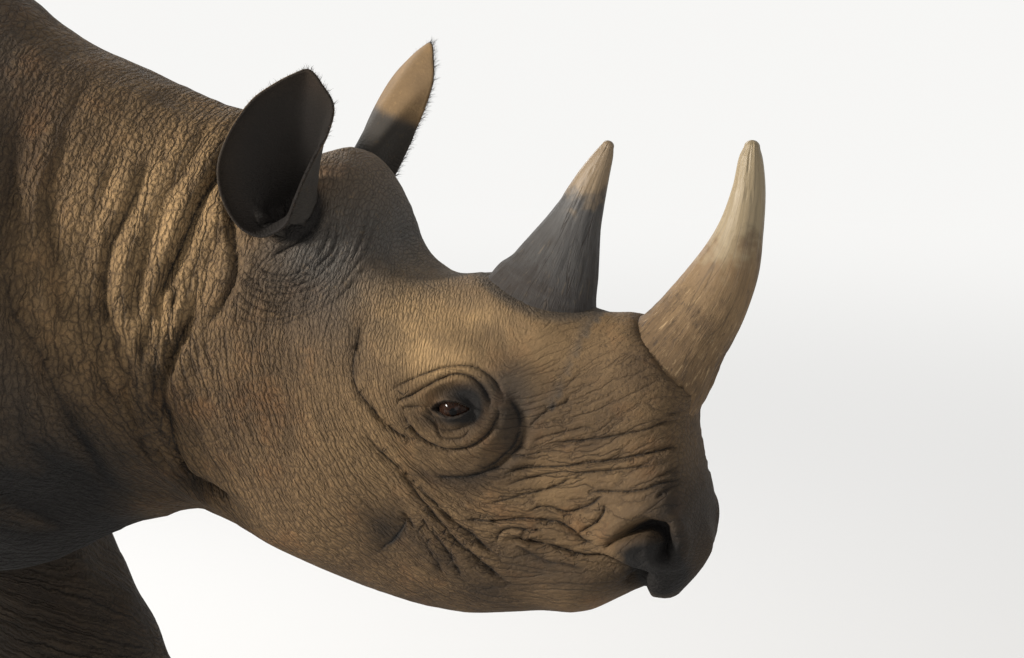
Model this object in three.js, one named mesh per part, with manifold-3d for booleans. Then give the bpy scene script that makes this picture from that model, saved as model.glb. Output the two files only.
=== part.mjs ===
// A black rhinoceros, life size, in millimetres: +X is forward, +Y is the animal's left, +Z is up.
// It stands in a walking stance, with its left forefoot ahead and its head turned a little to its right.
// The flesh is one rounded form, worked out from named masses, and thin cuts part it into head, neck,
// trunk and legs. The tail, ears, eyes, horns and toenails are solids of their own.
import * as THREE from "three";
import { mergeVertices } from "three/addons/utils/BufferGeometryUtils.js";
import Module from "manifold-3d";

const wasm = await Module();
wasm.setup();

// ---- Driving dimensions ----
const headPitch = 20; // degrees, nose down
const headYaw = 10; // degrees, towards the animal's right
const eyeLevel = 950; // height of the eyes over the ground
const eyeRadius = 19;
const eyeSpacing = 107; // eye centre to the head's midplane
const footSpacing = 208; // middle of each foot to the midplane
const footHome = { fore: -726, hind: -2204 }; // x of a foot under its shoulder or hip
const gap = 0.3; // clearance between pieces that meet
const headGrain = [33, 30, 30]; // size of the facets on the head, along each axis
const neckGrain = [66, 58, 62];
const trunkGrain = [100, 90, 90];
const legGrain = [52, 52, 68];

const colours = { skin: 0x84705a, horn: 0x6f6250, eye: 0x1d120c, nail: 0x4d463d };

// ---- Rounded forms: each is a function of a point that is negative inside ----
const degrees = THREE.MathUtils.degToRad;

function ellipsoid([cx, cy, cz], [rx, ry, rz], pitch = 0, yaw = 0) {
  const [c, s] = [Math.cos(degrees(pitch)), Math.sin(degrees(pitch))];
  const [cw, sw] = [Math.cos(degrees(yaw)), Math.sin(degrees(yaw))];
  return (x, y, z) => {
    const [dx, dy, dz] = [x - cx, y - cy, z - cz];
    const [ax, ay] = [dx * cw + dy * sw, dy * cw - dx * sw];
    const [u, v, w] = [(ax * c - dz * s) / rx, ay / ry, (ax * s + dz * c) / rz];
    const near = Math.hypot(u, v, w);
    return (near * (near - 1)) / (Math.hypot(u / rx, v / ry, w / rz) + 1e-9);
  };
}

// A run of sections along x. Each section is {x, top, bottom, widest, half, shape, side}:
// its highest and lowest level, the level where it is widest, its half width there,
// the power of its outline (2 is an ellipse) and where its middle lies sideways.
function loft(sections, rearCap, frontCap) {
  const keys = ["top", "bottom", "widest", "half", "shape", "side"];
  const xs = sections.map((s) => s.x);
  const values = sections.flatMap((s) => keys.map((key) => s[key] ?? (key === "shape" ? 2 : 0)));
  const track = new THREE.CubicInterpolant(xs, values, keys.length);
  const [first, last] = [xs[0], xs[xs.length - 1]];
  const rounded = (run, cap) => (run >= cap ? 1 : Math.sqrt(Math.max(0, 1 - (1 - run / cap) ** 2)));
  return (x, y, z) => {
    const at = Math.min(Math.max(x, first), last);
    const [top, bottom, widest, half, shape, side] = track.evaluate(at);
    const close = Math.min(rounded(at - first, rearCap), rounded(last - at, frontCap));
    const height = (z > widest ? top - widest : widest - bottom) * close;
    const width = half * close;
    const beyond = Math.abs(x - at);
    if (Math.min(height, width) < 1) return Math.hypot(beyond, y - side, z - widest);
    const [across, up] = [Math.abs(y - side) / width, Math.abs(z - widest) / height];
    const depth = ((across ** shape + up ** shape) ** (1 / shape) - 1) * Math.min(height, width);
    return Math.hypot(Math.max(0, depth), beyond) + Math.min(0, depth);
  };
}

// A smooth line through points.
const through = (points) =>
  new THREE.CatmullRomCurve3(points.map((point) => new THREE.Vector3(...point)), false, "centripetal");

// A limb along a smooth line of joints. Each joint is [x, y, z, fore-and-aft radius, flatness].
function limb(joints, spans = 18) {
  const line = through(joints.map((joint) => joint.slice(0, 3)));
  const sizes = joints.map(([, , , radius, flat = 1]) => [radius, flat]);
  const steps = [];
  for (let i = 0; i <= spans; i++) {
    const t = (i / spans) * (joints.length - 1);
    const k = Math.min(Math.floor(t), joints.length - 2);
    const blend = THREE.MathUtils.smoothstep(t - k, 0, 1) * 0.5 + (t - k) * 0.5;
    const mix = (n) => sizes[k][n] + (sizes[k + 1][n] - sizes[k][n]) * blend;
    steps.push({ at: line.getPoint(i / spans), radius: mix(0), flat: mix(1) });
  }
  return (x, y, z) => {
    let nearest = Infinity;
    for (let i = 0; i < spans; i++) {
      const { at: a, radius: ra, flat } = steps[i];
      const { at: b, radius: rb } = steps[i + 1];
      const [ex, ey, ez] = [b.x - a.x, (b.y - a.y) / flat, b.z - a.z];
      const [px, py, pz] = [x - a.x, (y - a.y) / flat, z - a.z];
      const t = THREE.MathUtils.clamp((px * ex + py * ey + pz * ez) / (ex * ex + ey * ey + ez * ez), 0, 1);
      const far = Math.hypot(px - t * ex, py - t * ey, pz - t * ez) - (ra + (rb - ra) * t);
      nearest = Math.min(nearest, far);
    }
    return nearest;
  };
}

// Joins forms with a fillet of about the given size.
function joined(fillet, ...forms) {
  return (x, y, z) =>
    forms.map((form) => form(x, y, z)).reduce((a, b) => {
      const near = Math.max(fillet - Math.abs(a - b), 0) / fillet;
      return Math.min(a, b) - (near * near * fillet) / 4;
    });
}

const bothSides = (form) => (x, y, z) => form(x, Math.abs(y), z);

// ---- Head, in its own frame: origin midway between the eyes, +X to the nose, +Z to the forehead ----
const headFrame = new THREE.Matrix4()
  .makeRotationFromEuler(new THREE.Euler(0, degrees(headPitch), -degrees(headYaw), "ZYX"))
  .setPosition(0, -65, eyeLevel);
const intoHead = headFrame.clone().invert();

function headForm() {
  const skull = loft([
    { x: -330, top: 196, bottom: -60, widest: 60, half: 92, shape: 2.1 },
    { x: -270, top: 214, bottom: -70, widest: 70, half: 104, shape: 2.2 },
    { x: -215, top: 200, bottom: -80, widest: 65, half: 112, shape: 2.2 },
    { x: -165, top: 168, bottom: -90, widest: 45, half: 114, shape: 2.2 },
    { x: -110, top: 132, bottom: -100, widest: 30, half: 108, shape: 2.3 },
    { x: -50, top: 134, bottom: -110, widest: 30, half: 98, shape: 2.4 },
    { x: 40, top: 140, bottom: -115, widest: 35, half: 88, shape: 2.4 },
    { x: 120, top: 143, bottom: -115, widest: 40, half: 78, shape: 2.3 },
    { x: 190, top: 128, bottom: -115, widest: 25, half: 74, shape: 2.3 },
    { x: 250, top: 80, bottom: -112, widest: -10, half: 69, shape: 2.3 },
    { x: 315, top: 16, bottom: -110, widest: -45, half: 60, shape: 2.4 },
  ], 60, 62);
  const jaw = loft([
    { x: -320, top: 60, bottom: -238, widest: -110, half: 104, shape: 2.2 },
    { x: -240, top: 60, bottom: -258, widest: -110, half: 128, shape: 2.3 },
    { x: -150, top: 50, bottom: -274, widest: -115, half: 134, shape: 2.3 },
    { x: -60, top: 20, bottom: -276, widest: -125, half: 120, shape: 2.2 },
    { x: 20, top: 0, bottom: -270, widest: -130, half: 98, shape: 2.1 },
    { x: 90, top: -20, bottom: -250, widest: -135, half: 80, shape: 2.1 },
    { x: 160, top: -60, bottom: -215, widest: -135, half: 66, shape: 2.1 },
    { x: 255, top: -95, bottom: -176, widest: -134, half: 52, shape: 2.1 },
  ], 70, 48);
  const cheekbone = bothSides(ellipsoid([-105, 88, 0], [150, 52, 58], 4, -8));
  const chewingMuscle = bothSides(ellipsoid([-175, 82, -125], [110, 58, 118], -10));
  const brow = bothSides(ellipsoid([-6, 78, 46], [72, 30, 26], 6, -8));
  const eyeRim = bothSides(ellipsoid([2, 74, -2], [60, 28, 48]));
  const poll = bothSides(ellipsoid([-262, 58, 140], [52, 46, 60]));
  const earBoss = bothSides(ellipsoid([-262, 92, 92], [48, 36, 56], 0, 0));
  const rearBoss = ellipsoid([26, 0, 108], [92, 62, 42]);
  const frontBoss = ellipsoid([186, 0, 98], [84, 74, 74], 38);
  const muzzle = ellipsoid([256, 0, -40], [62, 66, 92], -8);
  const nostrilWing = bothSides(ellipsoid([268, 50, -46], [45, 27, 40], 20));
  const lipTip = ellipsoid([288, 0, -112], [20, 24, 20]);
  const upperLip = joined(20, ellipsoid([286, 0, -88], [38, 46, 42], 20), lipTip);
  const lowerLip = ellipsoid([212, 0, -150], [58, 50, 34], -20);
  const sides = joined(46, skull, jaw, cheekbone, chewingMuscle);
  return joined(34, sides, joined(30, brow, eyeRim), poll, earBoss,
    rearBoss, frontBoss, joined(24, muzzle, nostrilWing, upperLip), lowerLip);
}

// ---- Trunk and neck: sections from the rump to the back of the head ----
function trunkForm() {
  const barrel = loft([
    { x: -2490, top: 1285, bottom: 900, widest: 1080, half: 170, shape: 2.2 },
    { x: -2350, top: 1385, bottom: 800, widest: 1080, half: 250, shape: 2.2 },
    { x: -2155, top: 1440, bottom: 705, widest: 1060, half: 312, shape: 2.2 },
    { x: -1910, top: 1432, bottom: 640, widest: 1020, half: 376, shape: 2.15 },
    { x: -1580, top: 1390, bottom: 590, widest: 985, half: 436, shape: 2.1 },
    { x: -1270, top: 1400, bottom: 600, widest: 1000, half: 412, shape: 2.1 },
    { x: -1000, top: 1462, bottom: 640, widest: 1020, half: 346, shape: 2.15 },
    { x: -800, top: 1482, bottom: 680, widest: 1030, half: 296, shape: 2.2 },
    { x: -640, top: 1420, bottom: 725, widest: 1050, half: 252, shape: 2.2 },
    { x: -500, top: 1358, bottom: 786, widest: 1070, half: 214, shape: 2.2, side: -4 },
    { x: -400, top: 1320, bottom: 806, widest: 1045, half: 180, shape: 2.1, side: -14 },
    { x: -300, top: 1288, bottom: 836, widest: 1005, half: 150, shape: 1.95, side: -28 },
    { x: -200, top: 1250, bottom: 880, widest: 985, half: 118, shape: 1.9, side: -42 },
  ], 150, 90);
  const withers = ellipsoid([-870, 0, 1330], [285, 120, 168], -2);
  const croup = ellipsoid([-2165, 0, 1300], [290, 160, 142], 8);
  const shoulderBlade = bothSides(ellipsoid([-780, 222, 1120], [190, 104, 300], -14));
  const rump = bothSides(ellipsoid([-2180, 196, 1060], [268, 148, 300], 10));
  const brisket = ellipsoid([-620, 0, 830], [140, 110, 92], 24);
  const dewlap = ellipsoid([-440, -22, 838], [66, 64, 50], 20);
  return joined(50, joined(90, barrel, withers, croup, shoulderBlade, rump, brisket), dewlap);
}

// ---- Legs: the joints of one leg, moved fore and aft by the stance ----
const side = { left: 1, right: -1 };
const stance = {
  foreleg_left: { elbow: 48, wrist: 256, foot: 300 },
  foreleg_right: { elbow: 10, wrist: -22, foot: -60 },
  hindleg_left: { knee: -60, hock: -130, foot: -150 },
  hindleg_right: { knee: 70, hock: 90, foot: 110 },
};

function footForm(x, y, out) {
  const pad = ellipsoid([x, y, 38], [112, 106, 80]);
  const toes = [-52, 0, 52].map((turn) => {
    const aim = degrees(turn);
    return ellipsoid([x + 72 * Math.cos(aim), y + 70 * Math.sin(aim) * out, 34], [46, 42, 56]);
  });
  return joined(26, pad, ...toes);
}

function foreleg(name) {
  const out = name.endsWith("left") ? side.left : side.right;
  const { elbow, wrist, foot } = stance[name];
  const bones = limb([
    [-700 + elbow * 0.6, 214 * out, 1010, 168, 0.78],
    [-765 + elbow, 236 * out, 830, 152, 0.8],
    [-752 + (elbow + wrist) / 2, 226 * out, 610, 112, 0.86],
    [-742 + wrist, 212 * out, 415, 86, 0.92],
    [-742 + (wrist + foot) / 2, 208 * out, 250, 77, 0.96],
    [-734 + foot, 208 * out, 118, 90, 0.98],
  ]);
  const point = ellipsoid([-608 + elbow * 0.3, 168 * out, 990], [110, 92, 146], -12);
  const heelOfElbow = ellipsoid([-842 + elbow, 232 * out, 830], [64, 58, 92], 16);
  const wristBone = ellipsoid([-722 + wrist, 212 * out, 412], [76, 76, 78]);
  const sole = footForm(footHome.fore + foot, footSpacing * out, out);
  return joined(50, joined(70, bones, point, heelOfElbow), wristBone, sole);
}

function hindleg(name) {
  const out = name.endsWith("left") ? side.left : side.right;
  const { knee, hock, foot } = stance[name];
  const bones = limb([
    [-2190 + knee * 0.3, 206 * out, 1050, 225, 0.62],
    [-2125 + knee * 0.8, 234 * out, 860, 190, 0.68],
    [-2130 + (knee + hock) / 2, 230 * out, 680, 146, 0.76],
    [-2222 + hock, 216 * out, 480, 96, 0.8],
    [-2228 + (hock + foot) / 2, 210 * out, 300, 75, 0.94],
    [-2212 + foot, 208 * out, 118, 86, 0.98],
  ]);
  const stifle = ellipsoid([-2008 + knee, 246 * out, 812], [88, 72, 130], -18);
  const hockBone = ellipsoid([-2270 + hock, 214 * out, 480], [54, 52, 84], -12);
  const sole = footForm(footHome.hind + foot, footSpacing * out, out);
  return joined(50, joined(80, bones, stifle), hockBone, sole);
}

// ---- Where the flesh is cut ----
const far = 3000;
const neckCutAt = -300; // the head begins at this x in its own frame
const shoulderCut = new THREE.Matrix4().makeRotationY(degrees(-22)).setPosition(-560, 0, 1130);
const legTop = { fore: 620, hind: 580 };
const legZones = {
  foreleg_left: [[-960, 96, 0], [-150, 420, legTop.fore]],
  foreleg_right: [[-1010, -420, 0], [-560, -96, legTop.fore]],
  hindleg_left: [[-2620, 70, 0], [-1950, 460, legTop.hind]],
  hindleg_right: [[-2440, -460, 0], [-1780, -70, legTop.hind]],
};

// ---- From forms to closed meshes ----
// Wraps a form in facets: one point in each cell of a grid that the surface crosses, pulled onto the surface.
function wrapped(form, box, grain) {
  const size = box.getSize(new THREE.Vector3()).toArray();
  const low = box.min.toArray();
  const [nx, ny, nz] = size.map((length, axis) => Math.ceil(length / grain[axis]) + 3);
  const place = (i, j, k) => [i, j, k].map((n, axis) => low[axis] + (n - 1) * grain[axis]);
  const index = (i, j, k) => (k * ny + j) * nx + i;
  const level = new Float32Array(nx * ny * nz);
  for (let k = 0; k < nz; k++)
    for (let j = 0; j < ny; j++)
      for (let i = 0; i < nx; i++) {
        const edge = i === 0 || j === 0 || k === 0 || i === nx - 1 || j === ny - 1 || k === nz - 1;
        level[index(i, j, k)] = edge ? grain[0] : form(...place(i, j, k));
      }
  const corners = [0, 1].flatMap((c) => [0, 1].flatMap((b) => [0, 1].map((a) => [a, b, c])));
  const apart = (p, q) => Math.abs(p[0] - q[0]) + Math.abs(p[1] - q[1]) + Math.abs(p[2] - q[2]);
  const pairs = corners.flatMap((p, m) => corners.slice(m + 1).map((q) => [p, q]));
  const edges = pairs.filter(([p, q]) => apart(p, q) === 1);
  const points = [];
  const cells = new Map();
  for (let k = 0; k < nz - 1; k++)
    for (let j = 0; j < ny - 1; j++)
      for (let i = 0; i < nx - 1; i++) {
        const sum = new THREE.Vector3();
        let crossings = 0;
        for (const [p, q] of edges) {
          const a = level[index(i + p[0], j + p[1], k + p[2])];
          const b = level[index(i + q[0], j + q[1], k + q[2])];
          if (a < 0 === b < 0) continue;
          const start = new THREE.Vector3(...place(i + p[0], j + p[1], k + p[2]));
          sum.add(start.lerp(new THREE.Vector3(...place(i + q[0], j + q[1], k + q[2])), a / (a - b)));
          crossings++;
        }
        if (!crossings) continue;
        cells.set(index(i, j, k), points.length);
        points.push(sum.divideScalar(crossings));
      }
  settle(points, form, box, Math.min(...grain));
  const faces = [];
  const steps = [[1, 0, 0], [0, 1, 0], [0, 0, 1]];
  for (let k = 0; k < nz - 1; k++)
    for (let j = 0; j < ny - 1; j++)
      for (let i = 0; i < nx - 1; i++)
        steps.forEach(([di, dj, dk], axis) => {
          const inside = level[index(i, j, k)] < 0;
          if (inside === level[index(i + di, j + dj, k + dk)] < 0) return;
          const [u, v] = [steps[(axis + 1) % 3], steps[(axis + 2) % 3]];
          const ring = [[0, 0], [1, 0], [1, 1], [0, 1]].map(([a, b]) =>
            cells.get(index(i - a * u[0] - b * v[0], j - a * u[1] - b * v[1], k - a * u[2] - b * v[2])));
          if (!inside) ring.reverse();
          const [a, b, c, d] = ring;
          const long = points[a].distanceTo(points[c]) > points[b].distanceTo(points[d]);
          faces.push(...(long ? [a, b, d, b, c, d] : [a, b, c, a, c, d]));
        });
  return solid(points.flatMap((p) => p.toArray()), faces);
}

// Moves points onto the surface of a form, except those on the sides of its box.
function settle(points, form, box, grain) {
  const reach = grain * 0.02;
  for (const p of points) {
    if (!box.containsPoint(p)) continue;
    for (let round = 0; round < 3; round++) {
      const here = form(p.x, p.y, p.z);
      const ahead = [form(p.x + reach, p.y, p.z), form(p.x, p.y + reach, p.z), form(p.x, p.y, p.z + reach)];
      const slope = new THREE.Vector3(...ahead.map((there) => (there - here) / reach));
      const steep = slope.lengthSq();
      if (steep < 0.01) break;
      p.addScaledVector(slope, THREE.MathUtils.clamp(-here / steep, -grain * 0.3, grain * 0.3));
    }
  }
}

function solid(vertices, triangles) {
  return new wasm.Manifold(new wasm.Mesh({
    numProp: 3, vertProperties: new Float32Array(vertices), triVerts: new Uint32Array(triangles) }));
}

// A three.js geometry, placed by a matrix, as a solid.
function solidOf(geometry, matrix = new THREE.Matrix4()) {
  const bare = geometry.clone().applyMatrix4(matrix);
  bare.deleteAttribute("normal");
  bare.deleteAttribute("uv");
  const merged = mergeVertices(bare, 1e-3);
  return solid(merged.attributes.position.array, merged.index.array);
}

function geometryOf(made) {
  const mesh = made.getMesh();
  return new THREE.BufferGeometry()
    .setAttribute("position", new THREE.BufferAttribute(new Float32Array(mesh.vertProperties), 3))
    .setIndex(new THREE.BufferAttribute(new Uint32Array(mesh.triVerts), 1));
}

const boxOf = (low, high) => new THREE.Box3(new THREE.Vector3(...low), new THREE.Vector3(...high));

// A block from one corner to the other, in the frame of a matrix.
function block(low, high, matrix = new THREE.Matrix4()) {
  const box = boxOf(low, high);
  const size = box.getSize(new THREE.Vector3());
  const centre = box.getCenter(new THREE.Vector3()).toArray();
  return solidOf(new THREE.BoxGeometry(...size.toArray()).translate(...centre), matrix);
}

// ---- Ears: a trumpet from a round base to an oval rim, in a frame of its own ----
// Axes of an ear: s to its front edge, w up its length, n out of its opening.
const earRim = [ // points round the rim, (s, w, n)
  [12, 224, 10], [31, 211, 14], [40, 183, 20], [35, 151, 26], [23, 124, 30], [11, 95, 34], [0, 62, 36],
  [-10, 32, 36], [-28, 15, 34], [-46, 10, 32], [-67, 19, 30], [-85, 42, 26], [-96, 72, 22], [-97, 104, 18],
  [-84, 144, 14], [-60, 184, 10], [-36, 206, 9], [-11, 220, 8],
];
const earBase = { radius: 30, sunk: -28 };
const earThickness = 7;
const ears = { // where each ear stands on the head, which way it points and which way it opens
  ear_right: { root: [-264, -106, 120], along: [-36, -58, 190], opens: [0.39, -0.9, -0.2] },
  ear_left: { root: [-264, 104, 120], along: [-10, 45, 225], opens: [0.75, 0.64, -0.1] },
};

function earFrame({ root, along, opens }, mirrored) {
  const w = new THREE.Vector3(...along).normalize();
  const n = new THREE.Vector3(...opens);
  n.addScaledVector(w, -n.dot(w)).normalize();
  const s = mirrored ? n.clone().cross(w) : w.clone().cross(n);
  return new THREE.Matrix4().makeBasis(s, w, n).setPosition(...root);
}

function ear(name, around = 15, along = 5) {
  const mirrored = name === "ear_left";
  const matrix = earFrame(ears[name], mirrored).premultiply(headFrame);
  const rim = new THREE.CatmullRomCurve3(earRim.map((p) => new THREE.Vector3(...p)), true, "centripetal");
  const line = (turn) => {
    const end = rim.getPoint(turn);
    const aim = Math.PI * (0.5 - 2 * turn) + 0.25;
    const from = new THREE.Vector3(
      earBase.radius * Math.cos(aim) * 0.95, earBase.sunk, -earBase.radius * Math.sin(aim) - 4);
    const rise = from.clone().setY(26);
    const flare = new THREE.Vector3(end.x * 0.86 - 6, end.y * 0.84 + 8, end.z - 44 + end.y * 0.12);
    return new THREE.CubicBezierCurve3(from, rise, flare, end);
  };
  const lines = Array.from({ length: around }, (_, i) => line(i / around));
  const outer = lines.map((curve) => Array.from({ length: along + 1 }, (_, k) => curve.getPoint(k / along)));
  const inner = outer.map((run, i) => run.map((point, k) => {
    const [before, after] = [outer[(i + around - 1) % around][k], outer[(i + 1) % around][k]];
    const [below, above] = [run[Math.max(k - 1, 0)], run[Math.min(k + 1, along)]];
    const out = after.clone().sub(before).cross(above.clone().sub(below)).normalize();
    return point.clone().addScaledVector(out, k === along ? 0.35 * earThickness : earThickness);
  }));
  const floor = 2; // the ring at which the hollow ends
  const rings = [...Array(along + 1).keys()].map((k) => outer.map((run) => run[k]))
    .concat([...Array(along + 1 - floor).keys()].map((k) => inner.map((run) => run[along - k])));
  return tube(rings, matrix, !mirrored);
}

// A closed body from rings of points, with its ends closed by fans.
function tube(rings, matrix = new THREE.Matrix4(), flipped = false) {
  const around = rings[0].length;
  const middle = (ring) => ring.reduce((sum, p) => sum.add(p), new THREE.Vector3()).divideScalar(around);
  const points = [...rings.flat(), middle(rings[0]), middle(rings[rings.length - 1])];
  const faces = [];
  const add = (a, b, c) => faces.push(...(flipped ? [a, c, b] : [a, b, c]));
  for (let k = 0; k < rings.length - 1; k++)
    for (let i = 0; i < around; i++) {
      const [a, b] = [k * around + i, k * around + ((i + 1) % around)];
      add(a, b, b + around);
      add(a, b + around, a + around);
    }
  const [start, end] = [points.length - 2, points.length - 1];
  const last = (rings.length - 1) * around;
  for (let i = 0; i < around; i++) {
    add(start, (i + 1) % around, i);
    add(end, last + i, last + ((i + 1) % around));
  }
  return solid(points.flatMap((p) => p.clone().applyMatrix4(matrix).toArray()), faces);
}

// ---- Horns and tail: rings of ovals along a bent line. Each section is its middle and its two radii ----
function column(sections, extra = 0, around = 16) {
  const line = through(sections.map((section) => section.slice(0, 3)));
  return sections.map(([x, y, z, fore, wide], k) => {
    const up = line.getTangent(k / (sections.length - 1));
    const start = k ? 0 : -extra; // a grown column starts a little sooner
    return Array.from({ length: around }, (_, i) => {
      const turn = (2 * Math.PI * i) / around;
      const reach = (fore + extra) * Math.cos(turn);
      const across = (wide + extra) * Math.sin(turn);
      return new THREE.Vector3(x + up.z * reach + up.x * start, y + across, z - up.x * reach + up.z * start);
    });
  });
}

const horns = { // in the head's frame: x, y, z, fore-and-aft radius, sideways radius
  horn_front: [
    [178, 0, 96, 72, 60], [199, 0, 128, 68, 58], [215, 0, 168, 58, 50], [226, 0, 216, 49, 41],
    [233, 0, 268, 39, 33], [233, 0, 316, 29, 25], [226, 0, 362, 21.5, 19], [215, 0, 398, 15, 13.5],
    [210, 0, 414, 9, 8],
  ],
  horn_rear: [
    [27, 0, 104, 78, 52], [28, 0, 140, 72, 46], [31, 0, 172, 58, 38], [33, 0, 206, 46, 31],
    [35, 0, 250, 31, 23], [37, 0, 300, 20, 16], [40, 0, 332, 12, 10], [41, 0, 346, 6.5, 5.5],
  ],
};
const horn = (name, extra = 0) => tube(column(horns[name], extra), headFrame);

const tailBones = [
  [-2400, 0, 1282, 58, 60], [-2462, 0, 1256, 48, 54], [-2506, 0, 1200, 36, 42], [-2532, 1, 1110, 27, 32],
  [-2540, 4, 1000, 21, 26], [-2534, 8, 860, 17, 23], [-2522, 12, 740, 13, 22], [-2512, 14, 670, 10, 20],
  [-2508, 14, 630, 6, 11],
];
const tail = (extra = 0) => tube(column(tailBones, extra, 12));

// ---- Eyes and toenails ----
function eye(out, extra = 0) {
  const at = new THREE.Matrix4().makeTranslation(0, eyeSpacing * out, 0).premultiply(headFrame);
  return solidOf(new THREE.IcosahedronGeometry(eyeRadius + extra, 1), at);
}

const toes = { // turn from straight ahead (outwards is positive), width and height of the nail
  inner: { turn: -56, wide: 35, high: 50 },
  middle: { turn: 0, wide: 46, high: 58 },
  outer: { turn: 56, wide: 35, high: 50 },
};

function nail(footX, footY, out, { turn, wide, high }, extra = 0) {
  const matrix = new THREE.Matrix4().makeRotationZ(degrees(turn * out))
    .setPosition(footX + 58 * Math.cos(degrees(turn)), footY + 62 * Math.sin(degrees(turn)) * out, 0);
  const shell = new THREE.SphereGeometry(1, 14, 8).rotateX(Math.PI / 2);
  shell.scale(66 + extra, wide + extra, high * 1.3 + extra).translate(0, 0, 6);
  const front = block([26 - extra, -far, 2], [far, far, high + extra], matrix);
  return solidOf(shell, matrix).intersect(front);
}

// ---- The whole flesh and its cuts ----
const head = headForm();
const at = new THREE.Vector3();
const headInBody = (x, y, z) => {
  at.set(x, y, z).applyMatrix4(intoHead);
  return head(at.x, at.y, at.z);
};
const trunk = trunkForm();
const legs = {};
for (const name of Object.keys(stance)) legs[name] = name.startsWith("fore") ? foreleg(name) : hindleg(name);
const front = joined(70, trunk, headInBody);
const flesh = joined(64, front, ...Object.values(legs));

const behindHead = (slit) => block([-far, -far, -far], [neckCutAt - slit, far, far], headFrame);
const aheadOfShoulder = (slit) => block([slit, -far, -far], [far, far, far], shoulderCut);

const nodes = {};

function makeHead() {
  const form = (x, y, z) => {
    at.set(x, y, z).applyMatrix4(headFrame);
    return front(at.x, at.y, at.z);
  };
  const room = boxOf([neckCutAt - 54, -192, -312], [350, 192, 264]);
  const whole = wrapped(form, room, headGrain).intersect(block([neckCutAt, -far, -far], [far, far, far]));
  let made = solidOf(geometryOf(whole), headFrame);
  for (const [name, out] of [["eye_left", 1], ["eye_right", -1]]) {
    nodes[name] = eye(out);
    made = made.subtract(eye(out, gap));
  }
  for (const name of Object.keys(horns)) {
    nodes[name] = horn(name);
    made = made.subtract(horn(name, gap));
  }
  return made;
}

// An ear stands on the head: what lies in the head or neck, or closer to them than the gap, is cut off it.
function makeEar(name) {
  const out = ears[name].root[1] > 0 ? 1 : -1;
  const shifts = [[0, gap * out, gap], [gap, gap * out, 0], [-gap, gap * out, 0]];
  let made = ear(name);
  for (const shift of shifts)
    for (const flank of [nodes.head, nodes.neck])
      made = made.subtract(solidOf(geometryOf(flank), new THREE.Matrix4().makeTranslation(...shift)));
  return made;
}

function makeLeg(name) {
  const [low, high] = legZones[name];
  const out = name.endsWith("left") ? side.left : side.right;
  const room = boxOf(low, high).expandByScalar(legGrain[0]);
  let made = wrapped(flesh, room, legGrain).intersect(block(low, high));
  const footX = footHome[name.slice(0, 4)] + stance[name].foot;
  for (const [toe, size] of Object.entries(toes)) {
    nodes[`nail_${name}_${toe}`] = nail(footX, footSpacing * out, out, size);
    made = made.subtract(nail(footX, footSpacing * out, out, size, gap));
  }
  return made;
}

function makeTrunk() {
  let made = wrapped(flesh, boxOf([-2610, -516, 540], [-260, 516, 1640]), trunkGrain)
    .subtract(aheadOfShoulder(-gap / 2));
  for (const [low, high] of Object.values(legZones)) {
    const [from, to] = [low.map((n) => n - gap), high.map((n) => n + gap)];
    made = made.subtract(block([from[0], from[1], -far], to));
  }
  return made.subtract(tail(gap));
}

nodes.head = makeHead();
nodes.neck = wrapped(flesh, boxOf([-860, -348, 700], [-180, 348, 1600]), neckGrain)
  .intersect(behindHead(gap)).intersect(aheadOfShoulder(gap / 2));
for (const name of Object.keys(ears)) nodes[name] = makeEar(name);
for (const name of Object.keys(stance)) nodes[name] = makeLeg(name);
nodes.trunk = makeTrunk();
nodes.tail = tail();

const roughness = { skin: 0.9, horn: 0.6, eye: 0.1, nail: 0.7 };

function materialOf(name) {
  const kind = name.split("_")[0];
  const look = kind in colours ? kind : "skin";
  return new THREE.MeshStandardMaterial({ color: colours[look], roughness: roughness[look], metalness: 0 });
}

const animal = new THREE.Group();
for (const [name, made] of Object.entries(nodes)) {
  const mesh = new THREE.Mesh(geometryOf(made), materialOf(name));
  mesh.name = name;
  animal.add(mesh);
}

// The origin lies on the ground, under the middle of the animal's bounding box.
const middle = new THREE.Box3().setFromObject(animal).getCenter(new THREE.Vector3());
animal.position.set(-middle.x, -middle.y, 0);

export default animal;
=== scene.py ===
import math
import bmesh
import bpy
import numpy as np
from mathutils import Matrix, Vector


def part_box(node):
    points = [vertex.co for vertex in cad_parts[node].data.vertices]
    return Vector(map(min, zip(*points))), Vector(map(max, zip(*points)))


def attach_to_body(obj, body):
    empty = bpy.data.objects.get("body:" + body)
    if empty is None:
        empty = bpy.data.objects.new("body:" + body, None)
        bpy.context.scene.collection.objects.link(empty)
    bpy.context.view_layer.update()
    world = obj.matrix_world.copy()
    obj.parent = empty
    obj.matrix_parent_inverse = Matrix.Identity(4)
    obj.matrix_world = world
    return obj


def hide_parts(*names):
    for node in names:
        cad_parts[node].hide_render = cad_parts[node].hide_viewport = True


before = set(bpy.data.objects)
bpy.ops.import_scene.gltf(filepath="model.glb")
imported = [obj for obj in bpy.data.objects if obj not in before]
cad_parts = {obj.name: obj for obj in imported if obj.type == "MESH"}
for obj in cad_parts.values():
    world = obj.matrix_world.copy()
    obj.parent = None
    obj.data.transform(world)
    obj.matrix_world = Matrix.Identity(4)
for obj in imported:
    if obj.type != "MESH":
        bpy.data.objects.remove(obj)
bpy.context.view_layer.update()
scene = bpy.context.scene
scene.view_settings.view_transform = "Standard"


def addObject(name, data):
    made = bpy.data.objects.new(name, data)
    scene.collection.objects.link(made)
    return made


def pieceName(node):  # horn_front becomes hornFront
    first, *rest = node.split("_")
    return first + "".join(part.title() for part in rest)


def boxCentre(node):
    low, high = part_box(node)
    return np.array((low + high) / 2)


def unit(v):
    return v / np.linalg.norm(v)


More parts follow.
